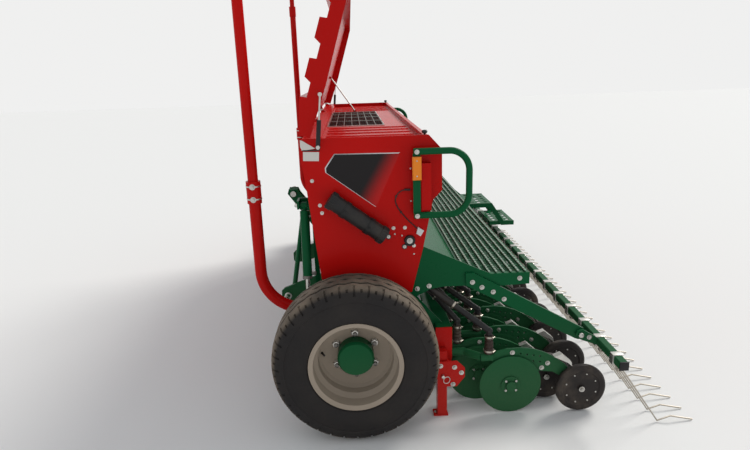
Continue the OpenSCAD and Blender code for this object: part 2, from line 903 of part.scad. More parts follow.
// Press wheels behind the discs, rubber tread over a recessed side
module press_wheels() {
    w = press_w / 2;
    x = plate_t / 2 + 4 + w;
    color(BLACK)
        from_axle()
            for (i = [0 : rows - 1])
                translate([coulter_x(i), coulter_y(i) + press_y, press_z]) {
                    translate([side(i) * x, 0, 0])
                        rotate([0, 90, 0])
                            rotate_extrude()
                                polygon([
                                    [0, 5 - w], [press_r - 36, 5 - w], [press_r - 30, -w],
                                    [press_r - 11, -w], [press_r - 3, 6 - w], [press_r, -4],
                                    [press_r, 4], [press_r - 3, w - 6], [press_r - 11, w],
                                    [press_r - 30, w], [press_r - 36, w - 5], [0, w - 5]
                                ]);
                    bar_x(16, press_w + 8, [side(i) * (plate_t / 2 + seat + press_w / 2 + 4), 0, 0]);
                }
}

// Scrapers over the press wheels, forwards and up from the wheel
module scrapers() {
    color(STEEL)
        from_axle()
            for (i = [0 : rows - 1])
                translate([
                    coulter_x(i) + side(i) * (plate_t / 2 + seat + 15), coulter_y(i) + press_y, press_z
                ])
                    across(30)
                        polygon([
                            [139, press_r + 50], [72, press_r + 16], [50, press_r - 4],
                            [54, press_r + 18], [105, press_r + 64]
                        ]);
}

// Sockets of the parking stands: sleeve, plate at the beam and six-sided outer plate
module stand_sockets() {
    s = leg_s + 2 * sleeve_t;
    color(RED)
        from_axle()
            both() {
                difference() {
                    block([s + 0.2, s, 90], [-leg_x, leg_y, 250]);
                    block([leg_s + 2 * seat, leg_s + 2 * seat, 200], [-leg_x, leg_y, 250]);
                }
                across(socket_t, -leg_x + (s + socket_t) / 2)
                    polygon([
                        [leg_y + 25, rear_beam_z + rear_beam / 2],
                        [leg_y - 55, rear_beam_z + rear_beam / 2],
                        [leg_y - 55, 290], [leg_y - 40, 166], [leg_y + 25, 166]
                    ]);
                across(socket_t, -leg_x - (s + socket_t) / 2)
                    polygon([
                        [leg_y + 25, 300], [leg_y - 68, 300], [leg_y - 106, 262],
                        [leg_y - 106, 216], [leg_y - 68, 166], [leg_y + 25, 166]
                    ]);
            }
}

// Pivot of the harrow bar, forwards and up
harrow_pin = [-1106, 362];
pin_r = 10;

// Arms of the harrow with their pins
module harrow_arms() {
    color(GREEN)
        from_axle()
            both() {
                across(12, -in_w / 2 - 6)
                    union() {
                        polygon([
                            [-535, 702], [-575, 702], [-1124, 388], [-1088, 334], [-540, 640]
                        ]);
                        translate(harrow_pin)
                            circle(32);
                    }
                bar_x(16, 5.7, [-in_w / 2 - 14.85, harrow_pin[0], harrow_pin[1]]);
                bar_x(pin_r, 34, [-in_w / 2 - 18, harrow_pin[0], harrow_pin[1]]);
            }
}

// Outer line of the lid sheet in its shut place, rearwards and up from the hinge
fold_z = lid_up + fold_h;
lid_p = [
    [0, 14], [150, fold_z], [162, fold_z], [166, lid_up], [230, lid_up], [247, fold_z],
    [328, fold_z], [332, lid_up], [395, lid_up], [412, fold_z], [498, fold_z], [502, lid_up],
    [565, lid_up], [582, fold_z], [lid_l - 4, fold_z], [lid_l, lid_up], [lid_l, 8 - lid_down]
];
// Pin of the stay in the shut lid, forwards and up from the hinge
stay_pin = [-238, -2];
stay_pin_r = 4;

// Lid frame about the hinge in the drawn place
module lid_place() {
    translate([0, hinge_y, hinge_z])
        rotate([-lid_open, 0, 0])
            children();
}

// Folded outer sheet, flat inner sheet, hinge knuckles and the lugs of the stay
module lid() {
    color(RED)
        from_axle()
            lid_place() {
                across(2 * lid_half - 2 * lid_t) {
                    polygon([for (q = sheet(lid_p, lid_t)) [-q[0], q[1]]]);
                    polygon([
                        [-34, lid_in], [-34, lid_up], [-36, lid_up], [-36, lid_in + lid_t],
                        [1 - lid_l, lid_in + lid_t], [1 - lid_l, lid_in]
                    ]);
                }
                for (x = hinge_xs)
                    difference() {
                        across(24, x)
                            polygon([[9, -8], [9, 9], [0, 13], [-35, 20.5], [-35, lid_in + 1], [-8, -8]]);
                        bar_x(hinge_r + run_gap, 40, [x, 0, 0]);
                    }
                for (d = [-10, 10])
                    across(4, stay_x + d)
                        polygon([
                            [stay_pin[0] + 10, lid_in + 1], [stay_pin[0] + 6, stay_pin[1] - 6],
                            [stay_pin[0] - 6, stay_pin[1] - 6], [stay_pin[0] - 10, lid_in + 1]
                        ]);
                bar_x(stay_pin_r, 26, [stay_x, stay_pin[0], stay_pin[1]]);
            }
}

// End plates of the lid with the studs for the struts
module lid_ends() {
    color(RED)
        from_axle() {
            lid_place()
                both()
                    across(lid_t, -lid_half + lid_t / 2)
                        polygon(concat(
                            [for (q = lid_p) [-q[0], q[1]]],
                            [[-240, -lid_down], [0, 8 - lid_down]]
                        ));
            both()
                bar_x(5, stud_l, [-lid_half - stud_l / 2, eye[0], eye[1]]);
        }
}

// Pin of the stay in the drawn place and the tip of the stay over its catch, forwards and up
stay_top = [
    hinge_y + stay_pin[0] * cos(lid_open) + stay_pin[1] * sin(lid_open),
    hinge_z - stay_pin[0] * sin(lid_open) + stay_pin[1] * cos(lid_open)
];
stay_foot = [-57, cover_z + 10];
stay_dir = (stay_foot - stay_top) / norm(stay_foot - stay_top);
stay_tip = stay_top + stay_l * stay_dir;

// Stay that props the open lid on the cover sheet and folds along the lid as it shuts
module lid_stay() {
    color(STEEL)
        from_axle()
            difference() {
                union() {
                    rod([stay_x, stay_top[0], stay_top[1]], [stay_x, stay_tip[0], stay_tip[1]], stay_r);
                    bar_x(stay_r + 3, 12, [stay_x, stay_top[0], stay_top[1]]);
                }
                bar_x(stay_pin_r + run_gap, 40, [stay_x, stay_top[0], stay_top[1]]);
            }
}

// Strut foot and eye, forwards and up
foot = [127, rim_z - 35];
eye = [hinge_y - 89, hinge_z + 176];
strut_dir = (eye - foot) / norm(eye - foot);

// Place along a strut at the distance s from its foot
function strut_at(side, s) = [side * strut_x, foot[0] + s * strut_dir[0], foot[1] + s * strut_dir[1]];

module strut_barrel(s) {
    color(BLACK)
        from_axle()
            difference() {
                union() {
                    rod(strut_at(s, 4), strut_at(s, strut_len), strut_r);
                    bar_x(strut_pin_r + 5, 16, strut_at(s, 0));
                }
                bar_x(strut_pin_r + run_gap, 40, strut_at(s, 0));
                rod(strut_at(s, 15), strut_at(s, 200), strut_rod_r + run_gap);
            }
}

module strut_rod(s) {
    color(STEEL)
        from_axle() {
            rod(strut_at(s, strut_len - 15), strut_at(s, norm(eye - foot) - 3), strut_rod_r);
            bar_x(9, strut_eye_w, strut_at(s, norm(eye - foot)));
        }
}

module strut_barrel_left() {
    strut_barrel(-1);
}

module strut_barrel_right() {
    strut_barrel(1);
}

module strut_rod_left() {
    strut_rod(-1);
}

module strut_rod_right() {
    strut_rod(1);
}

// Tyre outline, outwards from the wheel axis and along it
module tyre_shape() {
    r = tyre_d / 2;
    w = tyre_w / 2;
    f = rim_d / 2;
    difference() {
        polygon([
            [f - 16, -w + 31], [f + 1, -w + 25], [f + 6, -w + 14], [f + 46, -w], [f + 84, -w + 2],
            [r - 36, -w + 16], [r - 12, -w + 34], [r - 3, -w + 60], [r, -30], [r, 30], [r - 3, w - 60],
            [r - 12, w - 34], [r - 36, w - 16], [f + 84, w - 2], [f + 46, w], [f + 6, w - 14],
            [f + 1, w - 25], [f - 16, w - 31], [f - 16, w - 44], [f + 8, w - 44], [f + 74, w - 22],
            [r - 30, w - 50], [r - 30, -w + 50], [f + 74, -w + 22], [f + 8, -w + 44],
            [f - 16, -w + 44]
        ]);
        for (z = [-62, -22, 22, 62])
            translate([r - 9, z - 3])
                square([20, 6]);
    }
}

module wheel_place(s) {
    from_axle()
        translate([s * wheel_x, 0, axle_z])
            rotate([0, s * 90, 0])
                children();
}

module tyre(s) {
    color(BLACK)
        wheel_place(s)
            rotate_extrude($fn = 96)
                tyre_shape();
}

module tyre_left() {
    tyre(-1);
}

module tyre_right() {
    tyre(1);
}

// Rim and wheel disc turned in one piece, with the studs
module rim(s) {
    r = rim_d / 2;
    w = tyre_w / 2;
    bore = hub_r + seat;
    color(BEIGE)
        wheel_place(s) {
            rotate_extrude($fn = 96)
                polygon([
                    [r, w - 20], [r, w - 25], [r - 16.3, w - 31], [r - 17, w - 80],
                    [r - 34, w - 100], [r - 34, -w + 100], [r - 17, -w + 80],
                    [r - 16.3, -w + 31], [r, -w + 25], [r, -w + 20], [r - 21, -w + 26],
                    [r - 22, -w + 82], [r - 39, -w + 104], [r - 39, -34], [cap_r + 30, -44],
                    [bore, -44], [bore, -34], [cap_r + 30, -34], [r - 52, -26], [r - 39, -14],
                    [r - 39, w - 104], [r - 22, w - 82], [r - 21, w - 26]
                ]);
            for (i = [0 : studs - 1])
                rotate([0, 0, i * 360 / studs])
                    translate([stud_pcd / 2, 0, -38]) {
                        cylinder(r = 9, h = 32);
                        cylinder(r = 14, h = 20);
                    }
        }
}

module rim_left() {
    rim(-1);
}

module rim_right() {
    rim(1);
}

// Hub with its flat cap, on the stub axle
module hub(s) {
    color(GREEN)
        wheel_place(s)
            difference() {
                rotate_extrude($fn = 96)
                    polygon([
                        [0, -90], [hub_r, -90], [hub_r, seat - 34], [cap_r - 2, seat - 34],
                        [cap_r, -30], [cap_r, 26], [cap_r - 8, 38], [0, 38]
                    ]);
                translate([0, 0, -100])
                    cylinder(r = stub_r + run_gap, h = 126);
            }
}

module hub_left() {
    hub(-1);
}

module hub_right() {
    hub(1);
}

// Harrow bar with its clips and hinge tongues
tongue_x = in_w / 2 + 23;
function tine_x(i) = -bar_half + 76 + i * tine_gap;
module harrow_bar() {
    color(GREEN)
        from_axle() {
            across(2 * bar_half)
                tube_outline(bar, [bar_y, bar_z], 4);
            for (i = [0 : tines - 1])
                block([32, bar + 2 * clip_t, bar + 2 * clip_t], [tine_x(i), bar_y, bar_z]);
            both()
                difference() {
                    across(10, -tongue_x)
                        polygon([
                            [bar_y + bar / 2 - 2, bar_z + bar / 2], [harrow_pin[0] - 10, harrow_pin[1] + 26],
                            [harrow_pin[0] + 16, harrow_pin[1] + 20], [harrow_pin[0] + 24, harrow_pin[1]],
                            [harrow_pin[0], harrow_pin[1] - 26], [bar_y + bar / 2 - 2, bar_z - bar / 2]
                        ]);
                    bar_x(pin_r + run_gap, 60, [-tongue_x, harrow_pin[0], harrow_pin[1]]);
                }
        }
}

// Double tines under the clips of the harrow bar: rearwards run, finger and tip from the coil
module harrow_tines() {
    top = -bar / 2 - clip_t - coil - seat;
    k = [
        [0, top], [175 - tine_reach, 9 - bar_z], [113 - tine_reach, 30 - bar_z],
        [5 - tine_reach, 6 - bar_z]
    ];
    color(STEEL)
        from_axle()
            for (i = [0 : tines - 1])
                for (d = [-1, 1])
                    translate([tine_x(i) + d * 46, bar_y, bar_z]) {
                        for (j = [0 : 2])
                            rod([0, k[j][0], k[j][1]], [0, k[j + 1][0], k[j + 1][1]], wire_r);
                        for (j = [1, 2])
                            translate([0, k[j][0], k[j][1]])
                                sphere(wire_r + 0.3);
                        bar_x(coil, 44, [-d * 12, k[0][0], k[0][1] - 0.2]);
                    }
}

// Marker arm of one side
module marker(s) {
    color(RED)
        from_axle()
            translate([s * mark_x, 0, mark_z]) {
                rod([0, 60, 0], [0, mark_y - mark_bend, 0], mark_r);
                translate([0, mark_y - mark_bend, mark_bend])
                    rotate([0, 90, 0])
                        rotate_extrude(angle = 90)
                            translate([mark_bend, 0])
                                circle(mark_r);
                rod([0, mark_y, mark_bend], [0, mark_y, 640], mark_r);
                rod([0, mark_y, 540], [0, mark_y, 645], mark_r + 6);
                rod([0, mark_y, 642], [0, mark_y, mark_l - 180], mark_r - 4);
                rod([0, mark_y, mark_l - 230], [0, mark_y, mark_l - 150], mark_r);
                rod([0, mark_y, mark_l - 152], [0, mark_y, mark_l - 40], mark_r - 9);
                rod([0, mark_y, mark_l - 42], [0, mark_y, mark_l + 22], spindle_r);
                for (y = [cyl_y - 19, cyl_y + 11])
                    rotate([90, 0, 0])
                        translate([0, 0, -y - 8])
                            linear_extrude(8)
                                polygon([
                                    [s * -20, -10], [s * 20, -mark_r - 2], [s * 96, 62], [s * 96, 84],
                                    [s * 70, 87], [s * -20, 26]
                                ]);
            }
}

module marker_left() {
    marker(-1);
}

module marker_right() {
    marker(1);
}

module marker_disc(s) {
    color(STEEL)
        from_axle()
            translate([s * mark_x, mark_y, mark_z + mark_l])
                difference() {
                    union() {
                        cylinder(r = mark_disc_r, h = 4, center = true);
                        cylinder(r = 34, h = 30, center = true);
                    }
                    cylinder(r = spindle_r + run_gap, h = 100, center = true);
                }
}

module marker_disc_left() {
    marker_disc(-1);
}

module marker_disc_right() {
    marker_disc(1);
}

// Marker cylinder pins, across and up
cyl_top = [mark_x, mark_z + cyl_up];
cyl_eye = [mark_x + 82, mark_z + 73];
cyl_dir = (cyl_eye - cyl_top) / norm(cyl_eye - cyl_top);

// Place along a cylinder at the distance t from its upper pin
function cyl_at(s, t) = [s * (cyl_top[0] + t * cyl_dir[0]), cyl_y, cyl_top[1] + t * cyl_dir[1]];

module cylinder_barrel(s) {
    color(GREEN)
        from_axle()
            difference() {
                union() {
                    rod(cyl_at(s, 26), cyl_at(s, 350), cyl_r);
                    rod(cyl_at(s, 6), cyl_at(s, 30), 12);
                    bar_y_(2 * cyl_pin_r, 26, cyl_at(s, 0));
                }
                bar_y_(cyl_pin_r + run_gap, 60, cyl_at(s, 0));
                rod(cyl_at(s, 150), cyl_at(s, 400), cyl_rod_r + run_gap);
            }
}

module cylinder_rod(s) {
    color(STEEL)
        from_axle() {
            rod(cyl_at(s, 160), cyl_at(s, norm(cyl_eye - cyl_top)), cyl_rod_r);
            bar_y_(14, 12, cyl_at(s, norm(cyl_eye - cyl_top)));
        }
}

module cylinder_left() {
    cylinder_barrel(-1);
}

module cylinder_right() {
    cylinder_barrel(1);
}

module cylinder_rod_left() {
    cylinder_rod(-1);
}

module cylinder_rod_right() {
    cylinder_rod(1);
}

// Parking stand of one side, leg and foot plate
module stand(s) {
    color(RED)
        from_axle() {
            block([leg_s, leg_s, leg_l], [s * leg_x, leg_y, leg_l / 2 + foot_t - 2]);
            block([leg_s + 6, leg_s + 25, foot_t], [s * leg_x, leg_y + 6, foot_t / 2]);
        }
}

module stand_left() {
    stand(-1);
}

module stand_right() {
    stand(1);
}

hopper();
cover_sheet();
end_panels();
sieve();
hinge_brackets();
metering_housings();
agitator_shaft();
seed_tubes();
seed_boots();
main_frame();
headstock();
stub_axles();
side_plates();
walkway_frame();
walkway_tread();
steps();
guard_rails();
reflectors();
document_tube();
coulter_arms();
coulter_bodies();
coulter_discs();
press_wheels();
scrapers();
stand_sockets();
harrow_arms();
lid();
lid_ends();
lid_stay();
strut_barrel_left();
strut_rod_left();
strut_barrel_right();
strut_rod_right();
tyre_left();
rim_left();
hub_left();
tyre_right();
rim_right();
hub_right();
harrow_bar();
harrow_tines();
marker_left();
marker_disc_left();
marker_right();
marker_disc_right();
cylinder_left();
cylinder_rod_left();
cylinder_right();
cylinder_rod_right();
stand_left();
stand_right();
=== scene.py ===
import json
import math

import bmesh
import bpy
from mathutils import Matrix, Vector


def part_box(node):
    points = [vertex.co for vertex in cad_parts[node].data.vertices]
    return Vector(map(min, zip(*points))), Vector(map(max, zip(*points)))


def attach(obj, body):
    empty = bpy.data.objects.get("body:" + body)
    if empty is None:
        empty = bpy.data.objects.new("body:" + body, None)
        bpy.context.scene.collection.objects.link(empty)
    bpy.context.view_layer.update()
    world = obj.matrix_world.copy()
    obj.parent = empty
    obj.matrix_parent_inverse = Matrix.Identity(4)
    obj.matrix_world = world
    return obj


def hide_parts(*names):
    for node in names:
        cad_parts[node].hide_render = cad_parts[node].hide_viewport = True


bl_info = {
    "name": "Seed drill looks",
    "version": (1, 0, 0),
    "blender": (4, 5, 0),
    "location": "View3D > Sidebar > Seed drill",
    "description": "Dresses the packed seed drill with its finishes and its small pieces",
    "category": "Object",
}

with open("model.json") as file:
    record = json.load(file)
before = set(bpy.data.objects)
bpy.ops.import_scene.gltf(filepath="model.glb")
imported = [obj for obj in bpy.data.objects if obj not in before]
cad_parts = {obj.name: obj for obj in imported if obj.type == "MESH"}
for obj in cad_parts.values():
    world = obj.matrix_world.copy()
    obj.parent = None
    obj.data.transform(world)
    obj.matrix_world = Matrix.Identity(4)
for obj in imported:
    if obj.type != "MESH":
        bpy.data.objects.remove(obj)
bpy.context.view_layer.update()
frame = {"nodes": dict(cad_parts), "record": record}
NODES = frame["nodes"]
MM = 0.001
SIDES = (("left", -1), ("right", 1))

# The axle, which places ahead are counted from, and its height above the floor in millimetres
AXLE = (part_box("stub_axles")[0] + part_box("stub_axles")[1]) / 2
AXLE_Z = round(AXLE.z / MM)

# How far the middle of each wheel is from the middle of the drill, in millimetres
WHEEL_X = 1560

# Points that are nearer to each other than this are one point
MERGE = 1e-6


def place(x, y, z):
    """A point in metres from millimetres: across, ahead of the axle, above the floor."""
    return Vector((x * MM, AXLE.y + y * MM, z * MM))


# Settings that a user would change


class PaintSettings(bpy.types.PropertyGroup):
    red: bpy.props.FloatVectorProperty(
        name="Red", description="Paint of the seed box, lid and markers",
        default=(0.50, 0.005, 0.004), subtype="COLOR", size=3, min=0, max=1)
    green: bpy.props.FloatVectorProperty(
        name="Green", description="Paint of the frame, coulters and walkway",
        default=(0.002, 0.090, 0.030), subtype="COLOR", size=3, min=0, max=1)
    # The rims' beige paint, with the brown of a painted reflection of the ground mixed in
    rim: bpy.props.FloatVectorProperty(
        name="Rim", description="Paint of the wheel rims",
        default=(0.36, 0.30, 0.24), subtype="COLOR", size=3, min=0, max=1)
    dust: bpy.props.FloatProperty(
        name="Dust", description="Share of pale dust on low surfaces",
        default=0.35, min=0, max=1, subtype="FACTOR")


class TyreSettings(bpy.types.PropertyGroup):
    waves: bpy.props.IntProperty(
        name="Waves", description="Zigzag waves round the tread", default=36, min=20, max=60)
    swing: bpy.props.FloatProperty(
        name="Swing", description="Swing of the zigzag grooves to each side", default=0.0065,
        min=0, max=0.008, unit="LENGTH")
    slit: bpy.props.FloatProperty(
        name="Slit depth", description="Depth of the slits in the shoulders", default=0.006,
        min=0, max=0.010, unit="LENGTH")


class SmallSettings(bpy.types.PropertyGroup):
    bolt: bpy.props.FloatProperty(
        name="Bolt", description="Width across flats of the coulter bolts", default=0.013,
        min=0.008, max=0.016, unit="LENGTH")
    coil_turns: bpy.props.FloatProperty(
        name="Coil turns", description="Turns in each coil of the harrow tines", default=3.25,
        min=1, max=3.5)


class StageSettings(bpy.types.PropertyGroup):
    floor: bpy.props.FloatVectorProperty(
        name="Floor", description="Colour of the floor",
        default=(0.80, 0.80, 0.79), subtype="COLOR", size=3, min=0, max=1)
    backdrop: bpy.props.FloatVectorProperty(
        name="Backdrop", description="Colour seen behind the machine",
        default=(0.87, 0.87, 0.865), subtype="COLOR", size=3, min=0, max=1)
    floor_size: bpy.props.FloatProperty(
        name="Floor size", description="Side of the floor", default=60, min=10, unit="LENGTH")
    sun: bpy.props.FloatProperty(
        name="Key light", description="Strength of the key light", default=2.2, min=0)
    sky: bpy.props.FloatProperty(
        name="Sky light", description="Strength of the even light", default=0.62, min=0)


# Shader maths written as Python expressions


class Socket:
    """A shader socket. Arithmetic on it adds Math nodes."""

    def __init__(self, tree, socket):
        self.tree = tree
        self.socket = socket

    def node(self, kind, settings=None, out=0, **inputs):
        """Another node of a kind, its settings first and then its sockets."""
        node = self.tree.nodes.new(kind)
        for key, value in (settings or {}).items():
            setattr(node, key, value)
        for key, value in inputs.items():
            which = int(key[1:]) if key[1:].isdigit() else key.replace("_", " ")
            target = node.inputs[which]
            if isinstance(value, Socket):
                self.tree.links.new(value.socket, target)
            else:
                target.default_value = value
        return Socket(self.tree, node.outputs[out])

    def math(self, operation, a, b=0.0):
        return self.node("ShaderNodeMath", {"operation": operation}, _0=a, _1=b)

    def __add__(self, other):
        return self.math("ADD", self, other)

    def __radd__(self, other):
        return self.math("ADD", other, self)

    def __sub__(self, other):
        return self.math("SUBTRACT", self, other)

    def __rsub__(self, other):
        return self.math("SUBTRACT", other, self)

    def __mul__(self, other):
        return self.math("MULTIPLY", self, other)

    def __rmul__(self, other):
        return self.math("MULTIPLY", other, self)

    def __lt__(self, other):
        return self.math("LESS_THAN", self, other)

    def ramp(self, low, high):
        """0 below low, 1 above high, smooth between."""
        return self.node("ShaderNodeMapRange", {"interpolation_type": "SMOOTHSTEP"},
                         _0=self, _1=low, _2=high, _3=0.0, _4=1.0)


def mix(mask, a, b):
    """Colour a where the mask is 0 and colour b where it is 1."""
    settings = {"data_type": "RGBA", "blend_type": "MIX"}
    return mask.node("ShaderNodeMix", settings, out=2, _0=mask, _6=a, _7=b)


def colour(rgb):
    """An opaque colour."""
    return (*rgb, 1.0)


def shade(rgb, factor):
    """A lighter or darker shade of a colour."""
    return colour([min(1.0, c * factor) for c in rgb])


def material(name, build, **shader):
    """A material whose build function gets the object's coordinates and returns linked sockets."""
    mat = bpy.data.materials.new(name)
    mat.use_nodes = True
    tree = mat.node_tree
    principled = tree.nodes["Principled BSDF"]
    coordinates = tree.nodes.new("ShaderNodeTexCoord")
    here = Socket(tree, coordinates.outputs["Object"])
    for key, value in shader.items():
        principled.inputs[key.replace("_", " ")].default_value = value
    for key, value in build(here).items():
        target = principled.inputs[key.replace("_", " ")]
        if isinstance(value, Socket):
            tree.links.new(value.socket, target)
        else:
            target.default_value = value
    return mat


def noise(here, scale, detail, roughness=0.55):
    """Noise from 0 to 1, with so many cells to a metre."""
    return here.node("ShaderNodeTexNoise", {"noise_dimensions": "3D"},
                     Vector=here, Scale=scale, Detail=detail, Roughness=roughness)


def coordinate(here, axis):
    """One coordinate in metres: 0 is across, 1 is ahead and 2 is up."""
    return here.node("ShaderNodeSeparateXYZ", out=axis, _0=here)


def height(here):
    """The height above the floor, in metres."""
    return coordinate(here, 2)


def bump(relief, strength, distance):
    """The normal of a surface with this relief."""
    return relief.node("ShaderNodeBump", Strength=strength, Distance=distance, Height=relief)


# Finishes

# Pale tan of dust; on the tyre's tread the same tan also serves as painted warm sunlight
DUST_AND_SUNLIT_TAN = (0.42, 0.33, 0.24)

# The foot and the top of the walkway's ridges, above the floor; the walkway's painted highlight
# comes in between them
RIDGE = (0.6915, 0.6965)

# The decal fades along a leaning line: its place behind the axle at the decal's top, the height
# of that top, how much it leans for each metre down, and the reach of the fade across it
FADE_BEHIND = 0.178
FADE_TOP = 1.285
FADE_LEAN = 0.60
FADE_REACH = (-0.085, 0.03)

# The tyre's grooved part from its middle, the floor of its grooves, and where its tread begins;
# they bound the tread's tan, partly painted sunlight, and the groove floors left dark as painted
# shade
GROOVED_HALF = 0.066
GROOVE_FLOOR = 0.3755
TREAD_EDGE = (0.352, 0.374)


def paint(name, rgb, dust, gloss):
    """Sprayed machine paint: slight shade changes, orange peel, and dust that gathers low down."""

    def build(here):
        tone = noise(here, 1.6, 2.0).ramp(0.35, 0.7)
        base = mix(tone, shade(rgb, 0.94), shade(rgb, 1.05))
        fine = noise(here, 120.0, 5.0, 0.6)
        low = 1.0 - height(here).ramp(0.05, 0.55)
        tan_share = (low * dust * 0.35 + 0.006) * (fine * 0.6 + 0.5)
        peel = noise(here, 420.0, 2.0)
        return {
            "Base_Color": mix(tan_share, base, colour(DUST_AND_SUNLIT_TAN)),
            "Roughness": gloss + fine * 0.08 + tan_share * 0.5,
            "Normal": bump(peel, 0.05, 0.0004),
        }

    return material(name, build, Specular_IOR_Level=0.06, Coat_Weight=0.02, Coat_Roughness=0.08)


def tread_paint(rgb):
    """Walkway paint, with a painted highlight in pale patches on the tops of the ridges."""

    def build(here):
        # Pale patches on the tops of the ridges and teeth: a painted highlight of low sun
        painted_highlight = height(here).ramp(*RIDGE) * noise(here, 240.0, 3.0).ramp(0.25, 0.55)
        grain = noise(here, 90.0, 4.0)
        return {
            "Base_Color": mix(painted_highlight * 0.75, mix(grain, shade(rgb, 0.9), shade(rgb, 1.15)),
                              colour((0.40, 0.50, 0.42))),
            "Roughness": 0.32 + grain * 0.14,
            "Normal": bump(noise(here, 260.0, 2.0), 0.25, 0.0008),
        }

    return material("tread paint", build, Specular_IOR_Level=0.24)


def decal_film(rgb):
    """Dark decal film that fades into the panel's paint towards the rear."""

    def build(here):
        y = coordinate(here, 1) - AXLE.y
        ahead = y + FADE_BEHIND - (FADE_TOP - height(here)) * FADE_LEAN
        fade = 1.0 - ahead.ramp(*FADE_REACH)
        grain = noise(here, 300.0, 2.0)
        return {
            "Base_Color": mix(fade, colour((0.010, 0.008, 0.009)), colour(rgb)),
            "Roughness": 0.20 + grain * 0.10,
            "Normal": bump(grain, 0.04, 0.0002),
        }

    return material("decal film", build, Specular_IOR_Level=0.2)


def metal(name, rgb, roughness):
    """Zinc plated or bare steel with uneven gloss."""

    def build(here):
        cloud = noise(here, 14.0, 5.0)
        fine = noise(here, 160.0, 3.0)
        spots = cloud.ramp(0.45, 0.75)
        low = 1.0 - height(here).ramp(0.02, 0.6)
        tan_share = (low * 0.15 + 0.03) * fine.ramp(0.4, 0.7)
        return {
            "Base_Color": mix(tan_share, mix(spots, shade(rgb, 0.85), shade(rgb, 1.05)), colour(DUST_AND_SUNLIT_TAN)),
            "Roughness": roughness + cloud * 0.2,
            "Metallic": 1.0 - tan_share * 0.6,
            "Normal": bump(fine, 0.12, 0.0006),
        }

    return material(name, build)


def plastic(name, rgb, roughness, dust):
    """Moulded plastic or rubber with a fine grain and a film of dust."""

    def build(here):
        grain = noise(here, 600.0, 2.0)
        cloud = noise(here, 9.0, 4.0)
        tan_share = dust * cloud.ramp(0.4, 0.75)
        return {
            "Base_Color": mix(tan_share, colour(rgb), colour(DUST_AND_SUNLIT_TAN)),
            "Roughness": roughness + cloud * 0.15,
            "Normal": bump(grain, 0.15, 0.0004),
        }

    return material(name, build, Specular_IOR_Level=0.28)


def tyre_rubber():
    """Rubber with a tan on the tread that is partly yard dust and partly painted warm sunlight,
    kept off the groove floors so they stay dark as painted shade, and a near black side.
    """

    def build(here):
        y = coordinate(here, 1) - AXLE.y
        z = height(here) - AXLE.z
        radius = here.math("SQRT", y * y + z * z)
        off = here.math("ABSOLUTE", here.math("ABSOLUTE", coordinate(here, 0)) - WHEEL_X * MM)
        # The tan on the rib tops and shoulders is partly dust and partly painted sunlight; the
        # groove floors get none and stay near black as painted shade
        groove = (off < GROOVED_HALF) * (radius < GROOVE_FLOOR)
        tread = radius.ramp(*TREAD_EDGE) * (1.0 - groove)
        cloud = noise(here, 6.0, 5.0).ramp(0.30, 0.75)
        fine = noise(here, 90.0, 4.0)
        tan_share = (tread * 0.44 + 0.03) * (cloud * 0.7 + 0.3)
        return {
            "Base_Color": mix(tan_share, colour((0.014, 0.013, 0.014)), colour(DUST_AND_SUNLIT_TAN)),
            "Roughness": 0.55 + fine * 0.25,
            "Normal": bump(fine, 0.20, 0.0008),
        }

    return material("tyre rubber", build, Specular_IOR_Level=0.2)


def finishes(settings):
    """Every material of the drill by name."""
    dust = settings.dust
    return {
        "red_paint": paint("red paint", settings.red, dust * 0.5, 0.22),
        "green_paint": paint("green paint", settings.green, dust * 0.7, 0.24),
        "tread_paint": tread_paint(settings.green),
        # Rim paint: beige paint plus the brown tint of a painted ground reflection
        "rim_paint": paint("rim paint", settings.rim, dust * 1.6, 0.38),
        "black_plastic": plastic("black plastic", (0.012, 0.012, 0.013), 0.35, 0.06),
        "bare_steel": metal("plated steel", (0.62, 0.61, 0.58), 0.28),
        "dark_steel": metal("dark steel", (0.20, 0.19, 0.18), 0.40),
        "spring_steel": metal("spring steel", (0.50, 0.46, 0.40), 0.34),
        "boot_rubber": plastic("boot rubber", (0.030, 0.016, 0.012), 0.42, 0.14),
        "amber_plastic": plastic("amber lens", (0.85, 0.24, 0.01), 0.14, 0.02),
        "tyre_rubber": tyre_rubber(),
        "roller_rubber": plastic("roller rubber", (0.018, 0.014, 0.013), 0.50, 0.16),
        "decal_dark": decal_film(settings.red),
        "decal_pale": plastic("decal edge film", (0.66, 0.66, 0.66), 0.28, 0.02),
    }


# Every finish by name, from the first operator on
FINISH = {}

# Meshes


def new_piece(name, bm, body, slot, finish=None, smooth=35.0):
    """A finished piece from a bmesh: its place is in its mesh, and it rides on a body."""
    bmesh.ops.remove_doubles(bm, verts=bm.verts, dist=MERGE)
    bmesh.ops.recalc_face_normals(bm, faces=bm.faces)
    mesh = bpy.data.meshes.new(name)
    bm.to_mesh(mesh)
    bm.free()
    piece = bpy.data.objects.new(name, mesh)
    bpy.context.scene.collection.objects.link(piece)
    mesh.materials.append(FINISH[finish or slot])
    for polygon in mesh.polygons:
        polygon.use_smooth = True
    mesh.set_sharp_from_angle(angle=math.radians(smooth))
    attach(piece, body)
    return piece


def turned(at, axis):
    """The matrix that puts local Z along an axis, at a place."""
    return Matrix.Translation(at) @ Vector(axis).to_track_quat("Z", "Y").to_matrix().to_4x4()


def circle(count, radius, turn=0.0):
    """Places round a circle, each as its two coordinates from the centre."""
    angles = [math.tau * (k + turn) / count for k in range(count)]
    return [(radius * math.cos(angle), radius * math.sin(angle)) for angle in angles]


def spread(count, pitch):
    """Coordinates of a row of places a pitch apart, with the middle of the row at 0."""
    return [(k - (count - 1) / 2) * pitch for k in range(count)]


def in_metres(points):
    """An outline's points in metres from millimetres."""
    return [(a * MM, b * MM) for a, b in points]


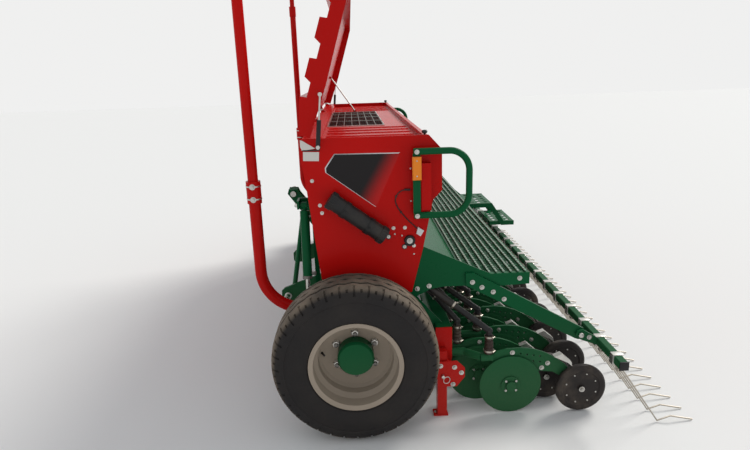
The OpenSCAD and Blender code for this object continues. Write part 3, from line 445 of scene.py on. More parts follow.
def add_round(bm, at, axis, radius, length, segments=16, top=None, edge=0.0):
    """A round bar that starts at a place and runs along an axis, with a bevelled far edge."""
    axis = Vector(axis).normalized()
    matrix = turned(at, axis) @ Matrix.Translation((0, 0, length / 2))
    made = bmesh.ops.create_cone(
        bm, cap_ends=True, segments=segments, radius1=radius,
        radius2=radius if top is None else top, depth=length, matrix=matrix)
    if edge:
        far = Vector(at) + axis * length
        rim = {e for v in made["verts"] for e in v.link_edges
               if all((w.co - far).dot(axis) > -MERGE for w in e.verts)}
        bmesh.ops.bevel(bm, geom=list(rim), offset=edge, segments=2, profile=0.5,
                        affect="EDGES", material=-1)


def add_bolt(bm, at, axis, across, washer=True, tip=True):
    """A hexagon head on its washer, with the end of its thread."""
    axis = Vector(axis).normalized()
    at = Vector(at)
    if washer:
        add_round(bm, at, axis, across * 0.92, across * 0.14)
        at = at + axis * across * 0.14
    add_round(bm, at, axis, across * 0.577, across * 0.62, 6, edge=across * 0.06)
    if tip:
        add_round(bm, at + axis * across * 0.6, axis, across * 0.3, across * 0.22, 10)


def add_rivet(bm, at, axis, radius):
    """A low round rivet head."""
    add_round(bm, at, axis, radius, radius * 0.5, 8, top=radius * 0.6)


def add_spun(bm, at, axis, outline, steps):
    """A closed outline of (radius, distance along) points turned fully round an axis."""
    matrix = turned(at, axis)
    verts = [bm.verts.new(matrix @ Vector((r, 0, along))) for r, along in outline]
    edges = [bm.edges.new(pair) for pair in zip(verts, verts[1:] + verts[:1])]
    bmesh.ops.spin(bm, geom=verts + edges, cent=matrix.translation, axis=matrix.col[2].xyz,
                   angle=math.tau, steps=steps, use_merge=True)


def add_band(bm, at, axis, radius, width, thickness=1.2 * MM, steps=20):
    """A sheet band closed round a tube."""
    w = width / 2
    add_spun(bm, at, axis, [(radius, -w), (radius + thickness, -w), (radius + thickness, w),
                            (radius, w)], steps)


def add_clamp(bm, at, axis, radius, ear):
    """A hose clamp: a band with its screw across an ear."""
    add_band(bm, at, axis, radius, 9 * MM, steps=14)
    ear = Vector(ear).normalized()
    across = Vector(axis).cross(ear).normalized()
    add_round(bm, Vector(at) + ear * (radius + 4 * MM) - across * 11 * MM, across, 3.6 * MM,
              22 * MM, 6)


def add_box(bm, one, other, edge=0.0):
    """A box between two opposite corners, given in any order."""
    low = Vector([min(pair) for pair in zip(one, other)])
    high = Vector([max(pair) for pair in zip(one, other)])
    matrix = Matrix.Translation((low + high) / 2) @ Matrix.Diagonal((*(high - low), 1))
    made = bmesh.ops.create_cube(bm, size=1.0, matrix=matrix)
    if edge:
        edges = {e for v in made["verts"] for e in v.link_edges}
        bmesh.ops.bevel(bm, geom=list(edges), offset=edge, segments=2, profile=0.5,
                        affect="EDGES", material=-1)


def add_prism(bm, outline, x0, x1):
    """A plate between two places across, from an outline of (ahead, above) points."""
    face = bm.faces.new([bm.verts.new(place(x0, y, z)) for y, z in outline])
    made = bmesh.ops.extrude_face_region(bm, geom=[face])
    moved = [v for v in made["geom"] if isinstance(v, bmesh.types.BMVert)]
    bmesh.ops.translate(bm, verts=moved, vec=Vector(((x1 - x0) * MM, 0, 0)))


def add_wires(bm, paths, radius, sides, closed=False):
    """Round wires along paths of points, made as one curve and turned into a mesh."""
    curve = bpy.data.curves.new("wire", "CURVE")
    curve.dimensions = "3D"
    curve.bevel_depth = radius
    curve.bevel_resolution = (sides - 4) // 2
    curve.use_fill_caps = not closed
    for path in paths:
        spline = curve.splines.new("POLY")
        spline.use_cyclic_u = closed
        spline.points.add(len(path) - 1)
        for point, at in zip(spline.points, path):
            point.co = (*at, 1)
    holder = bpy.data.objects.new("wire", curve)
    bpy.context.scene.collection.objects.link(holder)
    bpy.context.view_layer.update()
    mesh = bpy.data.meshes.new_from_object(
        holder.evaluated_get(bpy.context.evaluated_depsgraph_get()))
    bm.from_mesh(mesh)
    bpy.data.objects.remove(holder)
    bpy.data.curves.remove(curve)
    bpy.data.meshes.remove(mesh)


def ring_path(at, axis, radius, steps=20):
    """The points of a circle round an axis."""
    matrix = turned(at, axis)
    return [matrix @ Vector((a, b, 0)) for a, b in circle(steps, radius)]


# Operators


class DrillOperator:
    bl_options = {"REGISTER", "UNDO"}


class SEEDDRILL_OT_finishes(DrillOperator, bpy.types.Operator):
    """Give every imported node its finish"""
    bl_idname = "seeddrill.finishes"
    bl_label = "Finishes"

    def execute(self, context):
        FINISH.update(finishes(context.scene.seeddrill_paint))
        slots = {s["node"]: s["material_slot"] for s in frame["record"]["subparts"]}
        slots["walkway_tread"] = "tread_paint"
        for name, node in NODES.items():
            node.data.materials.clear()
            node.data.materials.append(FINISH[slots[name]])
        return {"FINISHED"}


class SEEDDRILL_OT_tyres(DrillOperator, bpy.types.Operator):
    """Build the ribbed tyres with their zigzag grooves and shoulder slits"""
    bl_idname = "seeddrill.tyres"
    bl_label = "Tyres"

    # Half of the tyre's section, as (radius, distance from the middle plane)
    HALF = [
        (370.5, 3.5), (379.6, 5.5), (379.3, 42), (369.8, 44), (369.8, 55.5), (378.2, 58),
        (376.5, 72), (373.5, 84), (368, 96), (356, 108), (340, 117), (322, 123.5), (318, 126),
        (314, 124), (300, 128), (280, 131.5), (262, 132), (245, 129), (232, 124.5), (218.5, 118),
        (213.5, 107), (196.5, 101), (196.5, 88), (220.5, 88), (286.5, 110), (350, 82),
    ]
    STEPS_PER_WAVE = 6

    # What swings lies outside this radius and nearer to the middle plane than this
    SWING_RADIUS = 369
    SWING_HALF = 60

    # Slits and holes lie outside this radius and between these distances from the middle plane
    SHOULDER_RADIUS = 345
    SLITS = (72, 117)
    HOLES = (96, 108)

    def execute(self, context):
        settings = context.scene.seeddrill_tyre
        outline = in_metres(self.HALF)
        outline += [(r, -a) for r, a in reversed(outline)]
        steps = self.STEPS_PER_WAVE * settings.waves
        for side, s in SIDES:
            bm = bmesh.new()
            centre = place(s * WHEEL_X, 0, AXLE_Z)
            add_spun(bm, centre, (1, 0, 0), outline, steps)
            bmesh.ops.remove_doubles(bm, verts=bm.verts, dist=MERGE)
            bmesh.ops.recalc_face_normals(bm, faces=bm.faces)
            self.shoulders(bm, centre, steps, settings)
            self.zigzag(bm, centre, settings)
            piece = new_piece("tyre_tread_" + side, bm, "wheel_" + side, "tyre_rubber", smooth=28)
            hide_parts("tyre_" + side)
        return {"FINISHED"}

    def zigzag(self, bm, centre, settings):
        """Each groove of the tread swings from side to side."""
        for v in bm.verts:
            d = v.co - centre
            if math.hypot(d.y, d.z) < self.SWING_RADIUS * MM or abs(d.x) > self.SWING_HALF * MM:
                continue
            phase = math.atan2(d.z, d.y) / math.tau * settings.waves
            if d.x > 0:
                phase += 0.5
            v.co.x += (abs((phase % 1.0) * 4 - 2) - 1) * settings.swing

    def shoulders(self, bm, centre, steps, settings):
        """Slits and small holes across each shoulder."""
        slits, holes = [], []
        for face in bm.faces:
            d = face.calc_center_median() - centre
            inward = face.normal.dot(Vector((0, d.y, d.z))) < 0
            if inward or math.hypot(d.y, d.z) < self.SHOULDER_RADIUS * MM:
                continue
            turn = (math.atan2(d.z, d.y) % math.tau) / math.tau
            step = int(round(turn * steps - 0.5)) % self.STEPS_PER_WAVE
            out = abs(d.x) / MM
            if step == 0 and self.SLITS[0] < out < self.SLITS[1]:
                slits.append(face)
            if step == self.STEPS_PER_WAVE // 2 and self.HOLES[0] < out < self.HOLES[1]:
                holes.append(face)
        bmesh.ops.inset_region(bm, faces=slits, thickness=2.8 * MM, depth=-settings.slit)
        bmesh.ops.inset_region(bm, faces=holes, thickness=3.2 * MM, depth=-settings.slit)


class SEEDDRILL_OT_wheels(DrillOperator, bpy.types.Operator):
    """Add the wheel nuts, studs and valves"""
    bl_idname = "seeddrill.wheels"
    bl_label = "Wheel nuts and valves"

    NUTS = 6
    NUT_CIRCLE = 102.5
    SEAT_X = WHEEL_X - 33.8
    NUT_X = WHEEL_X - 30
    STUD_X = WHEEL_X - 17
    VALVE = (158, 389)

    def execute(self, context):
        for side, s in SIDES:
            out = (s, 0, 0)
            nuts, studs, valve = bmesh.new(), bmesh.new(), bmesh.new()
            for up, ahead in circle(self.NUTS, self.NUT_CIRCLE):
                seat, nut, stud = (place(s * x, ahead, AXLE_Z + up)
                                   for x in (self.SEAT_X, self.NUT_X, self.STUD_X))
                add_round(nuts, seat, out, 19 * MM, 4 * MM, 20, top=16 * MM)
                add_round(nuts, nut, out, 16.6 * MM, 13.2 * MM, 6, edge=1.2 * MM)
                add_round(studs, stud, out, 9.6 * MM, 11.6 * MM, 16, edge=1.2 * MM)
            at, lean = place(s * self.NUT_X, *self.VALVE), (s * 0.9, -0.42, 0)
            add_round(valve, at, lean, 7 * MM, 12 * MM, 14, top=5 * MM)
            add_round(valve, at, lean, 4.4 * MM, 34 * MM, 12, edge=0.8 * MM)
            new_piece("wheel_nuts_" + side, nuts, "wheel_" + side, "bare_steel")
            new_piece("wheel_studs_" + side, studs, "wheel_" + side, "bare_steel", "dark_steel")
            new_piece("wheel_valve_" + side, valve, "wheel_" + side, "black_plastic")
        return {"FINISHED"}


class SEEDDRILL_OT_box_ends(DrillOperator, bpy.types.Operator):
    """Dress the end panels of the seed box"""
    bl_idname = "seeddrill.box_ends"
    bl_label = "Seed box ends"

    FACE = 1400

    # Places and outlines on an end panel, as (ahead, above)
    DECAL = [(-235, 1287), (59, 1291), (103, 1230), (102, 1209), (-120, 1041)]
    DECAL_CENTRE = (-20, 1180)
    BOLTS = [(164, 1173), (135, 1059), (127, 1023), (-198, 938), (-251, 938), (-292, 849)]
    RIVETS = [(-281, 1213), (-281, 1063), (-204, 909), (-237, 900), (-292, 808)]
    RINGED_BOLTS = [(-174, 898), (-248, 846)]
    BEARING = (-272, 876)
    LATCH_KNOB = (-347, 1360)
    LATCH_BLOCK = [(-303, 910), (-311, 940), (-338, 923), (-322, 897)]
    FRONT_REFLECTOR = [(196, 1305), (125, 1302), (128, 1262), (198, 1265)]
    HINGE_PLATE = [(207, 1357), (198, 1355), (141, 1318), (200, 1310), (207, 1327)]
    LEDGE = ((122, 1308), (199, 1313))
    CABLE = [(-277, 1117), (-262, 1118), (-240, 1114), (-224, 1104), (-213, 1088), (-209, 1070),
             (-212, 1052), (-221, 1032), (-234, 1013), (-252, 990), (-270, 969), (-292, 948),
             (-312, 929)]
    CABLE_RADIUS = 2.5

    # The decal's pale line lies between these shares of the decal's outline
    LINE_SHARES = (0.965, 1.004)

    # Outlines that are spun, as (radius, distance along)
    BEARING_RING = [(20.6, 0), (26, 0), (26, 9), (24, 12.6), (14, 12.6), (14, 12.2), (20.6, 12.2)]
    KNOB_HEAD = [(0.05, 6), (9, 7), (13, 12), (13, 17), (9, 22), (0.05, 23)]

    def execute(self, context):
        bolts, fittings, blocks, plates = bmesh.new(), bmesh.new(), bmesh.new(), bmesh.new()
        film, line = bmesh.new(), bmesh.new()
        for side, s in SIDES:
            x = s * self.FACE
            self.fastenings(bolts, fittings, x, s)
            add_prism(blocks, self.LATCH_BLOCK, x, x + s * 14)
            add_prism(plates, self.HINGE_PLATE, x, x + s * 2.5)
            add_prism(plates, self.FRONT_REFLECTOR, x, x + s * 2.5)
            add_prism(film, self.DECAL, x, x + s * 0.4)
            self.edge_line(line, x, s)
            (y0, z0), (y1, z1) = self.LEDGE
            add_box(fittings, place(x, y0, z0), place(x + s * 5, y1, z1), 1 * MM)
            knob = place(s * 1388, *self.LATCH_KNOB)
            add_round(fittings, knob, (0, 0, 1), 5 * MM, 8 * MM, 12)
            add_spun(fittings, knob, (0, 0, 1), in_metres(self.KNOB_HEAD), 20)
        self.cable(fittings, -self.FACE)
        new_piece("end_panel_bolts", bolts, "frame", "bare_steel")
        new_piece("end_panel_fittings", fittings, "frame", "black_plastic")
        new_piece("end_panel_latch_blocks", blocks, "frame", "bare_steel", "decal_pale")
        new_piece("decal_film", film, "frame", "black_plastic", "decal_dark")
        new_piece("decal_line", line, "frame", "bare_steel", "decal_pale")
        new_piece("reflector_plates", plates, "frame", "bare_steel")
        return {"FINISHED"}

    def fastenings(self, bolts, fittings, x, s):
        """The bolts and rivets of one end panel, two of them on rings, and its bearing."""
        out = (s, 0, 0)
        for at in self.BOLTS:
            add_bolt(bolts, place(x, *at), out, 9.5 * MM)
        for at in self.RIVETS:
            add_rivet(bolts, place(x, *at), out, 5 * MM)
        for at in self.RINGED_BOLTS:
            add_round(fittings, place(x, *at), out, 12.5 * MM, 3 * MM, 24, edge=1 * MM)
            add_bolt(bolts, place(x + s * 3, *at), out, 9 * MM)
        add_spun(fittings, place(x, *self.BEARING), out, in_metres(self.BEARING_RING), 32)
        add_bolt(bolts, place(x + s * 20, *self.BEARING), out, 10 * MM, washer=False)

    def edge_line(self, bm, x, s):
        """The pale edge of the decal, open towards the rear."""
        y0, z0 = self.DECAL_CENTRE
        inner, edge = ([(y0 + (y - y0) * share, z0 + (z - z0) * share) for y, z in self.DECAL]
                       for share in self.LINE_SHARES)
        for i in range(len(self.DECAL) - 1):
            add_prism(bm, [edge[i], edge[i + 1], inner[i + 1], inner[i]], x, x + s * 0.7)

    def cable(self, bm, face):
        """The cable on the left panel, its plug and its clips."""
        path = [place(face - self.CABLE_RADIUS - 0.1, *at) for at in self.CABLE]
        add_wires(bm, [path], self.CABLE_RADIUS * MM, 8)
        add_round(bm, place(face - 5.2, *self.CABLE[0]), (0, 1, 0.05), 5 * MM, 26 * MM, 12,
                  edge=1 * MM)
        for y, z in self.CABLE[4::4]:
            add_box(bm, place(face - 6.5, y - 4, z - 5), place(face, y + 4, z + 5), 1 * MM)


class SEEDDRILL_OT_document_tube(DrillOperator, bpy.types.Operator):
    """Add the straps and cap ribs of the document tube"""
    bl_idname = "seeddrill.document_tube"
    bl_label = "Document tube"

    X = -1442
    TOP = (87, 1094)
    FOOT = (-151, 914)
    RADIUS = 41
    RIBS = 20

    def execute(self, context):
        top, foot = place(self.X, *self.TOP), place(self.X, *self.FOOT)
        along = (foot - top).normalized()
        length = (foot - top).length
        ribs, straps = bmesh.new(), bmesh.new()
        for start in (-4 * MM, length - 26 * MM):
            spot = turned(top + along * start, along)
            for a, b in circle(self.RIBS, self.RADIUS * MM):
                add_round(ribs, spot @ Vector((a, b, 4 * MM)), along, 2.2 * MM, 22 * MM, 6)
        for share in (0.28, 0.72):
            at = top + along * length * share
            add_band(straps, at, along, 40.1 * MM, 20 * MM, steps=40)
            add_bolt(straps, at + Vector((-self.RADIUS * MM, 0, 0)), (-1, 0, 0), 8 * MM)
        new_piece("document_tube_ribs", ribs, "frame", "black_plastic")
        new_piece("document_tube_straps", straps, "frame", "black_plastic")
        return {"FINISHED"}


class SEEDDRILL_OT_coulters(DrillOperator, bpy.types.Operator):
    """Add the bolts and rivets of the coulters, sowing discs and press wheels"""
    bl_idname = "seeddrill.coulters"
    bl_label = "Coulter fastenings"

    # The rows, how far each plate stands in from its row, and how far ahead the front rank is
    ROWS = 25
    MIDDLE = (ROWS - 1) / 2
    ROW_PITCH = 125
    SET_IN = 16
    STAGGER = 130

    # Places on a coulter of the rear rank, as (ahead, above)
    ARM_BOLTS = ((-750, 318), (-924, 253), (-896, 230))
    DISC = (-742, 154)
    DISC_BOLTS, DISC_CIRCLE = 4, 35
    PRESS_WHEEL = (-1084, 127)
    RIVETS, RIVET_CIRCLE = 8, 77

    # The seed tube's ends, the pitch of its spouts, and its boot's clamps as (above, radius)
    SPOUT = (-300, 668)
    SPOUT_PITCH = 111.33
    TUBE_END = (-636, 437.3)
    BOOT_CLAMPS = ((408, 20.6), (336, 24.4))

    def execute(self, context):
        across = context.scene.seeddrill_small.bolt
        bolts, rivets, clamps = bmesh.new(), bmesh.new(), bmesh.new()
        for i in range(self.ROWS):
            s = -1 if i <= self.MIDDLE else 1
            x = (i - self.MIDDLE) * self.ROW_PITCH - s * self.SET_IN
            ahead = (i % 2) * self.STAGGER
            out = (s, 0, 0)
            for y, z in self.ARM_BOLTS:
                add_bolt(bolts, place(x + s * 5, ahead + y, z), out, across, tip=False)
            y, z = self.DISC
            for a, b in circle(self.DISC_BOLTS, self.DISC_CIRCLE, 0.5):
                add_round(bolts, place(x + s * 25, ahead + y + a, z + b), out, 6 * MM, 6 * MM, 6)
            y, z = self.PRESS_WHEEL
            add_bolt(bolts, place(x + s * 47.3, ahead + y, z), out, across * 1.2)
            for a, b in circle(self.RIVETS, self.RIVET_CIRCLE, 0.4):
                add_rivet(rivets, place(x + s * 38, ahead + y + a, z + b), out, 4.5 * MM)
            self.tube_clamps(clamps, i, s, x, ahead)
        new_piece("coulter_bolts", bolts, "frame", "bare_steel")
        new_piece("press_wheel_rivets", rivets, "frame", "bare_steel")
        new_piece("seed_tube_clamps", clamps, "frame", "bare_steel", "spring_steel")
        return {"FINISHED"}

    def tube_clamps(self, bm, i, s, x, ahead):
        """Clamps at the telescope and on the boot of one seed tube."""
        y, z = self.TUBE_END
        upper = place((i - self.MIDDLE) * self.SPOUT_PITCH, *self.SPOUT)
        lower = place(x, ahead + y, z)
        along = (lower - upper).normalized()
        add_clamp(bm, upper + (lower - upper) * 0.53, along, 19.3 * MM, (0, -1, 0.6))
        for z, radius in self.BOOT_CLAMPS:
            add_clamp(bm, place(x, ahead + y, z), (0, 0, 1), radius * MM, (s, -1, 0))


class SEEDDRILL_OT_walkway(DrillOperator, bpy.types.Operator):
    """Add the bolts, teeth and mesh of the walkway and the bolts of the side plates"""
    bl_idname = "seeddrill.walkway"
    bl_label = "Walkway"

    # Bolts of the side plates, and of the harrow's brackets on them, as (ahead, above)
    PLATE_BOLTS = ((-306, 631), (-363, 642), (-800, 662))
    BRACKET_BOLTS = ((-569, 656), (-615, 628), (-670, 602), (-724, 562))
    RAIL_BOLTS = ((-304, 1004), (-304, 1294))
    REFLECTOR_RIVETS = ((-304, 1186), (-304, 1254))

    STRANDS, STRAND_PITCH = 198, 14
    TEETH, TOOTH_PITCH = 96, 29
    TOOTH_ROWS, TOOTH_ROW_PITCH = 9, 35
    TREAD_MIDDLE = -689

    def execute(self, context):
        bolts, teeth, strands = bmesh.new(), bmesh.new(), bmesh.new()
        for x in spread(self.STRANDS, self.STRAND_PITCH):
            add_box(strands, place(x - 2.6, -845, 686.3), place(x + 2.6, -533, 688.2))
        for side, s in SIDES:
            out = (s, 0, 0)
            for at in self.PLATE_BOLTS:
                add_bolt(bolts, place(s * 1396, *at), out, 13 * MM)
            for at in self.BRACKET_BOLTS:
                add_bolt(bolts, place(s * 1408, *at), out, 13 * MM)
            for at in self.RAIL_BOLTS:
                add_bolt(bolts, place(s * 1455, *at), out, 12 * MM)
            for at in self.REFLECTOR_RIVETS:
                add_rivet(bolts, place(s * 1456.3, *at), out, 4 * MM)
        for row in spread(self.TOOTH_ROWS, self.TOOTH_ROW_PITCH):
            y = self.TREAD_MIDDLE + row
            for x in spread(self.TEETH, self.TOOTH_PITCH):
                add_box(teeth, place(x - 9, y - 4.5, 694), place(x + 9, y + 4.5, 698.8))
        new_piece("walkway_bolts", bolts, "frame", "bare_steel")
        new_piece("walkway_teeth", teeth, "frame", "green_paint", "tread_paint")
        new_piece("walkway_mesh", strands, "frame", "green_paint", "tread_paint")
        return {"FINISHED"}


class SEEDDRILL_OT_harrow(DrillOperator, bpy.types.Operator):
    """Wind the spring tines and add the clips, bolts and caps of the harrow"""
    bl_idname = "seeddrill.harrow"
    bl_label = "Harrow"

    CLIPS, CLIP_PITCH = 18, 187.53
    CLIP_HALF = 24.7
    CAP_HALF = 21.5

    # Places as (ahead, above): the bar's middle, the coil's middle and the hinge's pin
    BAR = (-1208, 322)
    COIL = (-1208, 284.7)
    PIN = (-1106, 362)
    COIL_RADIUS = 9
    COIL_STEPS = 12

    # Half of the tine's bridge, the end of its coil, and the angle at which the coil ends
    BRIDGE_HALF = 16
    COIL_END = 46
    LEAVES_AT = math.radians(144)
    FINGER = [(-1408, 9), (-1470, 30), (-1578, 6)]
    WIRE_RADIUS = 4

    def execute(self, context):
        turns = context.scene.seeddrill_small.coil_turns
        clips, caps, pins, wires = bmesh.new(), bmesh.new(), bmesh.new(), []
        y, z = self.BAR
        half = self.CLIP_HALF
        for x in spread(self.CLIPS, self.CLIP_PITCH):
            add_box(clips, place(x - 16.6, y - half, z - half),
                    place(x + 16.6, y + half, z + half), 1.2 * MM)
            add_bolt(clips, place(x, y - half, z), (0, -1, 0), 12 * MM)
            wires.append(self.tine(x, -1, turns)[::-1] + self.tine(x, 1, turns))
        half = self.CAP_HALF
        for side, s in SIDES:
            add_box(caps, place(s * 1669, y - half, z - half), place(s * 1675, y + half, z + half),
                    1.5 * MM)
            add_bolt(clips, place(s * 1424, -1150, 346), (s, 0, 0), 14 * MM)
            add_round(pins, place(s * 1431, *self.PIN), (s, 0, 0), 13 * MM, 5 * MM, 16,
                      edge=1 * MM)
        tines = bmesh.new()
        add_wires(tines, wires, self.WIRE_RADIUS * MM, 8)
        new_piece("harrow_clips", clips, "harrow", "bare_steel")
        new_piece("harrow_caps", caps, "harrow", "black_plastic")
        piece = new_piece("harrow_spring_tines", tines, "harrow", "bare_steel", "spring_steel", 60)
        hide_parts("harrow_tines")
        new_piece("harrow_pin_heads", pins, "frame", "bare_steel")
        return {"FINISHED"}

    def tine(self, x, d, turns):
        """One half of a double tine: half the bridge, the coil, the finger and its tip."""
        y, z = self.COIL
        count = int(turns * self.COIL_STEPS)
        points = []
        for k in range(count + 1):
            a = self.LEAVES_AT - math.tau * turns * (1 - k / count)
            out = self.BRIDGE_HALF + (self.COIL_END - self.BRIDGE_HALF) * k / count
            points.append(place(x + d * out, y + self.COIL_RADIUS * math.cos(a),
                                z + self.COIL_RADIUS * math.sin(a)))
        return points + [place(x + d * self.COIL_END, *at) for at in self.FINGER]


class SEEDDRILL_OT_stands(DrillOperator, bpy.types.Operator):
    """Add the bolts and linch pins of the parking stands"""
    bl_idname = "seeddrill.stands"
    bl_label = "Parking stands"

    SOCKET_BOLTS = ((-467, 268), (-500, 238), (-460, 178), (-400, 278))
    LOCK_PIN = (-411, 226)
    PIN_RING = (-428, 208)

    def execute(self, context):
        bolts = bmesh.new()
        rings = []
        for side, s in SIDES:
            out = (s, 0, 0)
            for at in self.SOCKET_BOLTS:
                add_bolt(bolts, place(s * 1511.3, *at), out, 13 * MM)
            add_round(bolts, place(s * 1511, *self.LOCK_PIN), out, 8 * MM, 16 * MM, 14,
                      edge=1 * MM)
            rings.append(ring_path(place(s * 1523, *self.PIN_RING), (1, 0.3, 0), 17 * MM))
            foot = bmesh.new()
            add_bolt(foot, place(s * 1475.8, -379, 8), (0, 0, 1), 8 * MM)
            new_piece("stand_bolts_" + side, foot, "parking_stand_" + side, "bare_steel")
        add_wires(bolts, rings, 2 * MM, 6, closed=True)
        new_piece("stand_socket_bolts", bolts, "frame", "bare_steel")
        return {"FINISHED"}


class SEEDDRILL_OT_markers(DrillOperator, bpy.types.Operator):
    """Add the pins and bolts of the markers and of their cylinders"""
    bl_idname = "seeddrill.markers"
    bl_label = "Markers"

    # The marker's upright tube, as (across, ahead), and the cylinder's upper and lower pin
    ARM_X, ARM_Y = 1300, 445
    UPPER_PIN = (1300, 215, 1040)
    LOWER_PIN = (1382, 215, 593)
    HUB_BOLTS, HUB_CIRCLE, HUB_Z = 4, 24, 2364.6

    # How far along the cylinder its two ports and its end band are, in millimetres
    PORTS = (52, 326)
    END_BAND = 343

    def execute(self, context):
        pin_bolts = bmesh.new()
        for side, s in SIDES:
            arm, hub = bmesh.new(), bmesh.new()
            for z in (1082, 1142):
                add_bolt(arm, place(s * (self.ARM_X + 33.4), self.ARM_Y, z), (s, 0, 0), 15 * MM)
                add_band(arm, place(s * self.ARM_X, self.ARM_Y, z), (0, 0, 1), 33.8 * MM, 6 * MM,
                         2 * MM, 32)
            add_bolt(arm, place(s * (self.ARM_X + 17), self.ARM_Y, 2138), (s, 0, 0), 12 * MM)
            self.pin(arm, s, self.LOWER_PIN, 37)
            for a, b in circle(self.HUB_BOLTS, self.HUB_CIRCLE, 0.5):
                add_round(hub, place(s * self.ARM_X + a, self.ARM_Y + b, self.HUB_Z), (0, 0, 1),
                          5 * MM, 4 * MM, 6)
            new_piece("marker_bolts_" + side, arm, "marker_arm_" + side, "bare_steel")
            new_piece("marker_hub_bolts_" + side, hub, "disc_" + side, "bare_steel", "dark_steel")
            self.pin(pin_bolts, s, self.UPPER_PIN, 32)
            new_piece("cylinder_ports_" + side, self.ports(s), "cylinder_tube_" + side,
                      "bare_steel", "dark_steel")
        new_piece("cylinder_pin_bolts", pin_bolts, "frame", "bare_steel")
        return {"FINISHED"}

    def pin(self, bm, s, at, half):
        """The two ends of a pin that lies along the machine."""
        x, y, z = at
        for reach in (-1, 1):
            add_bolt(bm, place(s * x, y + reach * half, z), (0, reach, 0), 15 * MM)

    def ports(self, s):
        """The two hose ports and the end band of one cylinder."""
        bm = bmesh.new()
        upper, lower = (place(s * x, y, z) for x, y, z in (self.UPPER_PIN, self.LOWER_PIN))
        along = (lower - upper).normalized()
        for t in self.PORTS:
            at = upper + along * t * MM
            add_round(bm, at + Vector((0, -18 * MM, 0)), (0, -1, 0), 8 * MM, 16 * MM, 12)
            add_round(bm, at + Vector((0, -34 * MM, 0)), (0, -1, 0), 9.5 * MM, 8 * MM, 6)
        add_band(bm, upper + along * self.END_BAND * MM, along, 21.8 * MM, 14 * MM, 1.5 * MM, 28)
        return bm


class SEEDDRILL_OT_lid(DrillOperator, bpy.types.Operator):
    """Add the rings of the hinges and struts and the thin wires of the sieve"""
    bl_idname = "seeddrill.lid"
    bl_label = "Lid and sieve"

    HINGES, HINGE_PITCH = 4, 840
    HINGE = (195, 1376)
    STRUT_EYE = (127, 1327)

    # The sieve's wires: how many, their pitch, where they start and end, their height and radius
    WIRES, WIRE_PITCH = 29, 40
    WIRE_ENDS = (-214, 114)
    WIRE_Z = 1341.2
    WIRE_RADIUS = 0.8

    def execute(self, context):
        rings = bmesh.new()
        for x in spread(self.HINGES, self.HINGE_PITCH):
            for reach in (-1, 1):
                add_round(rings, place(x + reach * 24, *self.HINGE), (reach, 0, 0), 8 * MM,
                          3 * MM, 16, edge=0.8 * MM)
        for side, s in SIDES:
            add_round(rings, place(s * 1441, *self.STRUT_EYE), (s, 0, 0), 9 * MM, 4 * MM, 16,
                      edge=1 * MM)
        new_piece("hinge_rings", rings, "frame", "bare_steel")
        wires = [[place(x, y, self.WIRE_Z) for y in self.WIRE_ENDS]
                 for x in spread(self.WIRES, self.WIRE_PITCH)]
        mesh = bmesh.new()
        add_wires(mesh, wires, self.WIRE_RADIUS * MM, 6)
        new_piece("sieve_wires", mesh, "frame", "bare_steel", "dark_steel", smooth=60)
        return {"FINISHED"}


class SEEDDRILL_OT_hitch(DrillOperator, bpy.types.Operator):
    """Add the top link pin and the linch pins of the headstock"""
    bl_idname = "seeddrill.hitch"
    bl_label = "Hitch pins"

    # The top link's pin and the lower links' pins, as (ahead, above)
    TOP = (400, 835)
    LOWER = (440, 225)

    def execute(self, context):
        pins = bmesh.new()
        y, z = self.TOP
        add_round(pins, place(-54, y, z), (1, 0, 0), 12.2 * MM, 112 * MM, 20, edge=2 * MM)
        add_round(pins, place(-58, y, z), (1, 0, 0), 20 * MM, 6 * MM, 24, edge=1 * MM)
        rings = [ring_path(place(51, y, z + 17), (1, 0, 0.2), 18 * MM)]
        add_round(pins, place(51, y, z - 17), (0, 0, 1), 4 * MM, 36 * MM, 10)
        y, z = self.LOWER
        for side, s in SIDES:
            add_round(pins, place(s * 506, y, z - 22), (0, 0, 1), 4.5 * MM, 46 * MM, 10)
            rings.append(ring_path(place(s * 506, y, z + 20), (1, 0, 0.2), 18 * MM))
            add_round(pins, place(s * 411, y, z), (s, 0, 0), 24 * MM, 5 * MM, 24, edge=1 * MM)
        add_wires(pins, rings, 2.2 * MM, 6, closed=True)
        new_piece("hitch_pins", pins, "frame", "bare_steel")
        return {"FINISHED"}


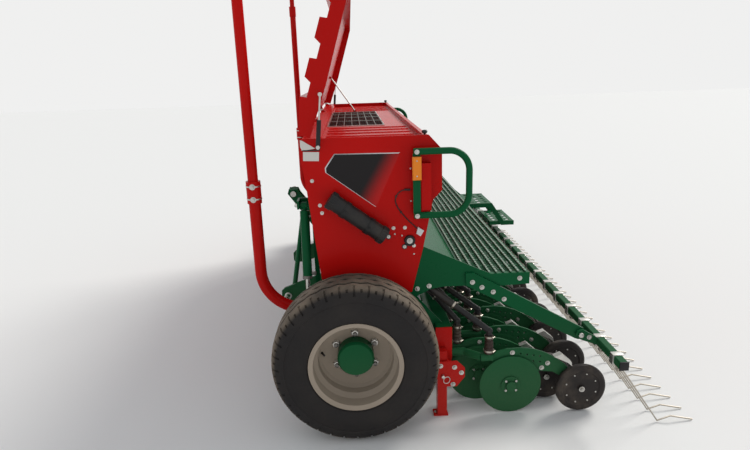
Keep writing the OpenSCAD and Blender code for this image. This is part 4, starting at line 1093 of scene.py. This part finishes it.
class SEEDDRILL_OT_stage(DrillOperator, bpy.types.Operator):
    """Set the camera, the floor and the lights"""
    bl_idname = "seeddrill.stage"
    bl_label = "Stage"

    # The camera as the photo gives it: place, angles in degrees, focal length and width in pixels
    EYE = (-3890, -22, 1638)
    PITCH, YAW, ROLL = 15.30, 2.09, 1.8
    FOCAL_LENGTH, PHOTO_WIDTH = 560, 750

    SUN_TOWARDS = (-0.42, 0.62, -0.66)
    SUN_COLOUR = (1.0, 0.97, 0.92)
    SKY_COLOUR = (0.93, 0.96, 1.0)

    def execute(self, context):
        settings = context.scene.seeddrill_stage
        self.camera(context)
        self.floor(context, settings)
        self.sky(context, settings)
        self.sun(context, settings)
        context.scene.view_settings.view_transform = "Standard"
        return {"FINISHED"}

    def camera(self, context):
        """The camera stands to the left of the machine, level with its axle."""
        pitch, yaw, roll = (math.radians(v) for v in (self.PITCH, self.YAW, self.ROLL))
        ahead = Vector((math.cos(yaw) * math.cos(pitch), -math.sin(yaw) * math.cos(pitch),
                        -math.sin(pitch)))
        right = Vector((-math.sin(yaw), -math.cos(yaw), 0))
        down = ahead.cross(right)
        right_turned = math.cos(roll) * right + math.sin(roll) * down
        down_turned = -math.sin(roll) * right + math.cos(roll) * down
        rotation = Matrix((right_turned, -down_turned, -ahead)).transposed()
        data = bpy.data.cameras.new("photo camera")
        data.sensor_width = 36.0
        data.lens = self.FOCAL_LENGTH / self.PHOTO_WIDTH * data.sensor_width
        data.clip_end = 200
        camera = bpy.data.objects.new("photo camera", data)
        camera.matrix_world = Matrix.Translation(place(*self.EYE)) @ rotation.to_4x4()
        context.scene.collection.objects.link(camera)
        context.scene.camera = camera

    def floor(self, context, settings):
        """A plain pale floor."""
        bm = bmesh.new()
        bmesh.ops.create_grid(bm, x_segments=1, y_segments=1, size=settings.floor_size / 2)
        mesh = bpy.data.meshes.new("floor")
        bm.to_mesh(mesh)
        bm.free()
        floor = bpy.data.objects.new("floor", mesh)
        context.scene.collection.objects.link(floor)
        mesh.materials.append(material(
            "pale floor", lambda here: {"Base_Color": colour(settings.floor)}, Roughness=0.9))

    def sky(self, context, settings):
        """Even light from all sides. What is seen or mirrored is the plain backdrop instead."""
        world = bpy.data.worlds.new("even sky")
        context.scene.world = world
        world.use_nodes = True
        tree = world.node_tree
        sky = tree.nodes["Background"]
        sky.inputs["Color"].default_value = colour(self.SKY_COLOUR)
        sky.inputs["Strength"].default_value = settings.sky
        seen = tree.nodes.new("ShaderNodeBackground")
        seen.inputs["Color"].default_value = colour(settings.backdrop)
        rays = tree.nodes.new("ShaderNodeLightPath")
        choose = tree.nodes.new("ShaderNodeMixShader")
        camera, glossy, through = (Socket(tree, rays.outputs[name]) for name in (
            "Is Camera Ray", "Is Glossy Ray", "Is Transmission Ray"))
        tree.links.new((camera + glossy + through).socket, choose.inputs[0])
        tree.links.new(sky.outputs[0], choose.inputs[1])
        tree.links.new(seen.outputs[0], choose.inputs[2])
        tree.links.new(choose.outputs[0], tree.nodes["World Output"].inputs["Surface"])

    def sun(self, context, settings):
        """One broad key light from above the right rear of the machine."""
        data = bpy.data.lights.new("key light", "SUN")
        data.energy = settings.sun
        data.angle = math.radians(25)
        data.color = self.SUN_COLOUR
        sun = bpy.data.objects.new("key light", data)
        sun.rotation_euler = Vector(self.SUN_TOWARDS).to_track_quat("-Z", "Y").to_euler()
        context.scene.collection.objects.link(sun)


OPERATORS = [
    SEEDDRILL_OT_finishes,
    SEEDDRILL_OT_tyres,
    SEEDDRILL_OT_wheels,
    SEEDDRILL_OT_box_ends,
    SEEDDRILL_OT_document_tube,
    SEEDDRILL_OT_coulters,
    SEEDDRILL_OT_walkway,
    SEEDDRILL_OT_harrow,
    SEEDDRILL_OT_stands,
    SEEDDRILL_OT_markers,
    SEEDDRILL_OT_lid,
    SEEDDRILL_OT_hitch,
    SEEDDRILL_OT_stage,
]


class SEEDDRILL_PT_panel(bpy.types.Panel):
    bl_label = "Seed drill"
    bl_idname = "SEEDDRILL_PT_panel"
    bl_space_type = "VIEW_3D"
    bl_region_type = "UI"
    bl_category = "Seed drill"

    def draw(self, context):
        for operator in OPERATORS:
            self.layout.operator(operator.bl_idname)


SETTINGS = {
    "seeddrill_paint": PaintSettings,
    "seeddrill_tyre": TyreSettings,
    "seeddrill_small": SmallSettings,
    "seeddrill_stage": StageSettings,
}


def register():
    for cls in (*SETTINGS.values(), *OPERATORS, SEEDDRILL_PT_panel):
        bpy.utils.register_class(cls)
    for name, cls in SETTINGS.items():
        setattr(bpy.types.Scene, name, bpy.props.PointerProperty(type=cls))


def unregister():
    for name in SETTINGS:
        delattr(bpy.types.Scene, name)
    for cls in reversed((*SETTINGS.values(), *OPERATORS, SEEDDRILL_PT_panel)):
        bpy.utils.unregister_class(cls)


def main():
    register()
    for operator in OPERATORS:
        group, name = operator.bl_idname.split(".")
        getattr(getattr(bpy.ops, group), name)()


if __name__ == "__main__":
    main()
